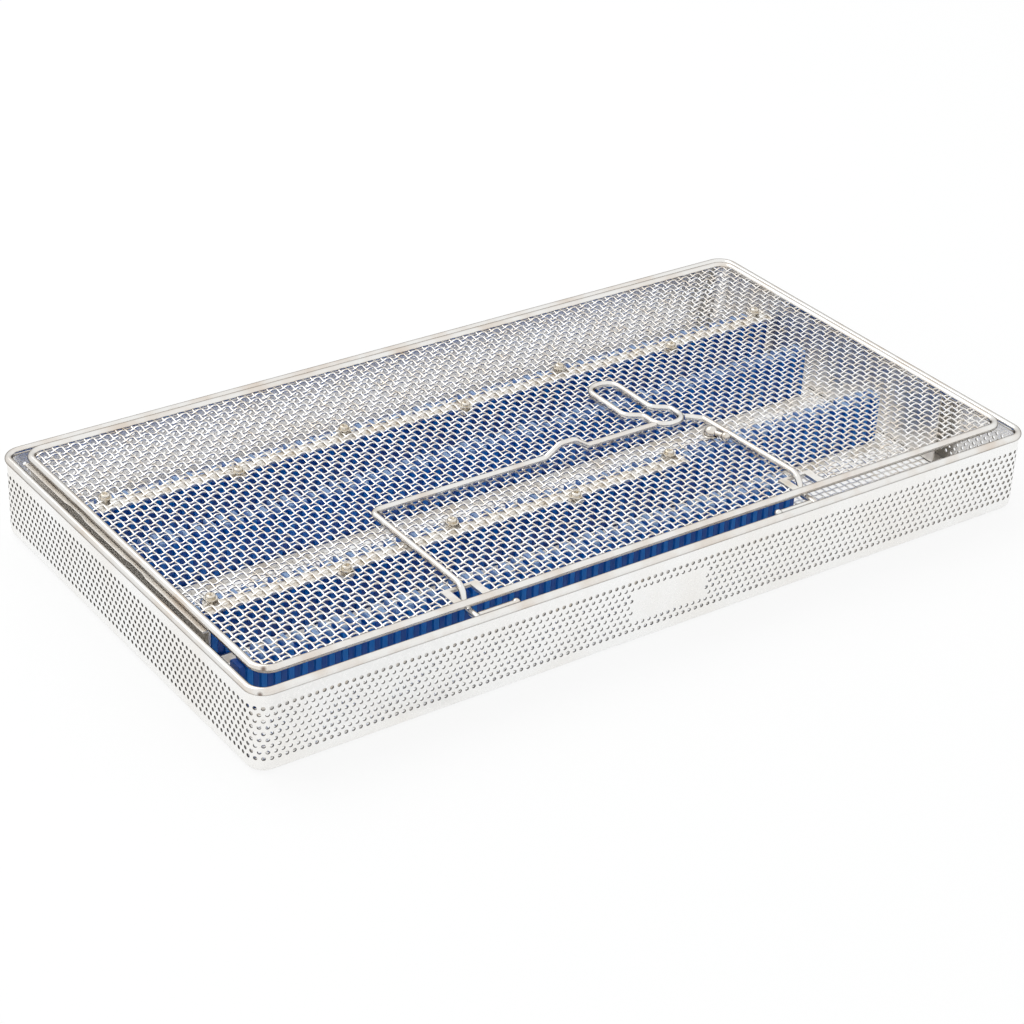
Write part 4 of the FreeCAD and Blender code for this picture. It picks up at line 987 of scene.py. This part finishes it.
# %% [markdown]
# ## Floor, light and camera
#
# A photographer would stand the basket on white acrylic under one big soft lamp. The
# world gives the even light, and one wide lamp above and behind gives the wires their
# upper highlights. The floor is a plane. Most of its white comes from itself, but only
# for the camera and for what mirrors it, so it is white in the picture and in the
# steel, keeps a soft shadow, and throws no more light on the basket than a real table.
# The studio's lengths are in metres.

# %% A white floor
FLOOR_HALF, FLOOR_GLOW = 6.0, 0.8


def seen_directly(tree):
    """1 for rays from the camera, a mirror or glass, 0 for soft light."""
    rays = add_node(tree, "LightPath", {}, {}).outputs
    seen = rays["Is Camera Ray"]
    for kind in ("Is Glossy Ray", "Is Transmission Ray"):
        seen = add_node(tree, "Math", {"operation": "MAXIMUM"}, {0: seen, 1: rays[kind]}).outputs[0]
    return seen


acrylic = {"Base Color": linear("#fbfcfc"), "Roughness": 0.7, "Specular IOR Level": 0.1}
floor_material, floor_tree, floor_shader = new_material("white_acrylic_floor", acrylic)
own_white = add_node(floor_tree, "Emission", {}, {"Color": (1, 1, 1, 1), "Strength": 1.0}).outputs[0]
share = ranged(floor_tree, seen_directly(floor_tree), 0.0, 1.0, 0.0, FLOOR_GLOW)
lit = add_node(floor_tree, "MixShader", {}, {0: share, 1: floor_shader.outputs[0], 2: own_white})
floor_tree.links.new(lit.outputs[0], floor_tree.nodes["Material Output"].inputs["Surface"])

floor_corners = [(x * FLOOR_HALF, y * FLOOR_HALF, 0) for x, y in ((-1, -1), (1, -1), (1, 1), (-1, 1))]
floor_mesh = bpy.data.meshes.new("floor")
floor_mesh.from_pydata(floor_corners, [], [(0, 1, 2, 3)])
floor_mesh.materials.append(floor_material)
floor = bpy.data.objects.new("floor", floor_mesh)
bpy.context.scene.collection.objects.link(floor)
print("floor:", 2 * FLOOR_HALF, "m wide")

# %% Even light and one soft lamp
WORLD_LIGHT, WORLD_SEEN = 0.9, 1.0
LAMP_SIZE, LAMP_PLACE, LAMP_POWER = (1.6, 1.2), (-0.5, 0.9, 1.5), 7.5

world = bpy.data.worlds.new("studio")
bpy.context.scene.world = world
world.use_nodes = True
sky = world.node_tree
background = sky.nodes["Background"]
background.inputs["Color"].default_value = (1, 1, 1, 1)
strength = ranged(sky, seen_directly(sky), 0.0, 1.0, WORLD_LIGHT, WORLD_SEEN)
sky.links.new(strength, background.inputs["Strength"])

lamp_data = bpy.data.lights.new("soft_box", "AREA")
lamp_data.shape = "RECTANGLE"
lamp_data.size, lamp_data.size_y = LAMP_SIZE
lamp_data.energy = LAMP_POWER
lamp = bpy.data.objects.new("soft_box", lamp_data)
bpy.context.scene.collection.objects.link(lamp)
lamp.location = LAMP_PLACE
lamp.rotation_euler = (Vector((0, 0, 0)) - lamp.location).to_track_quat("-Z", "Y").to_euler()
print("lamp:", LAMP_POWER, "W")

# %% [markdown]
# The camera stands where the photographer's did: about 1.4 m away, 30 degrees above
# the table and 36 degrees round to the left, rolled by under three degrees. Its three
# axes are worked out from those angles, and its place was found together with its lens.

# %% Camera
AZIMUTH, ELEVATION, ROLL = math.radians(-36.32), math.radians(30.17), math.radians(-2.676)
CAMERA_PLACE = (-731.65, -986.0, 716.6)
SENSOR, LENS = 36.0, 92.46

away = math.cos(ELEVATION)
backward = Vector((math.sin(AZIMUTH) * away, -math.cos(AZIMUTH) * away, math.sin(ELEVATION)))
level_right = (-backward).cross(Vector((0, 0, 1))).normalized()
down = (-backward).cross(level_right)
image_right = level_right * math.cos(ROLL) + down * math.sin(ROLL)
image_down = down * math.cos(ROLL) - level_right * math.sin(ROLL)
camera_data = bpy.data.cameras.new("camera")
camera_data.sensor_width = SENSOR
camera_data.lens = LENS
camera = bpy.data.objects.new("camera", camera_data)
bpy.context.scene.collection.objects.link(camera)
turned = Matrix((image_right, -image_down, backward)).transposed().to_4x4()
camera.matrix_world = Matrix.Translation(Vector(CAMERA_PLACE) * MM) @ turned
bpy.context.scene.camera = camera
bpy.context.scene.view_settings.view_transform = "Standard"
print("camera:", round(camera.matrix_world.translation.length, 2), "m from the middle of the tray")
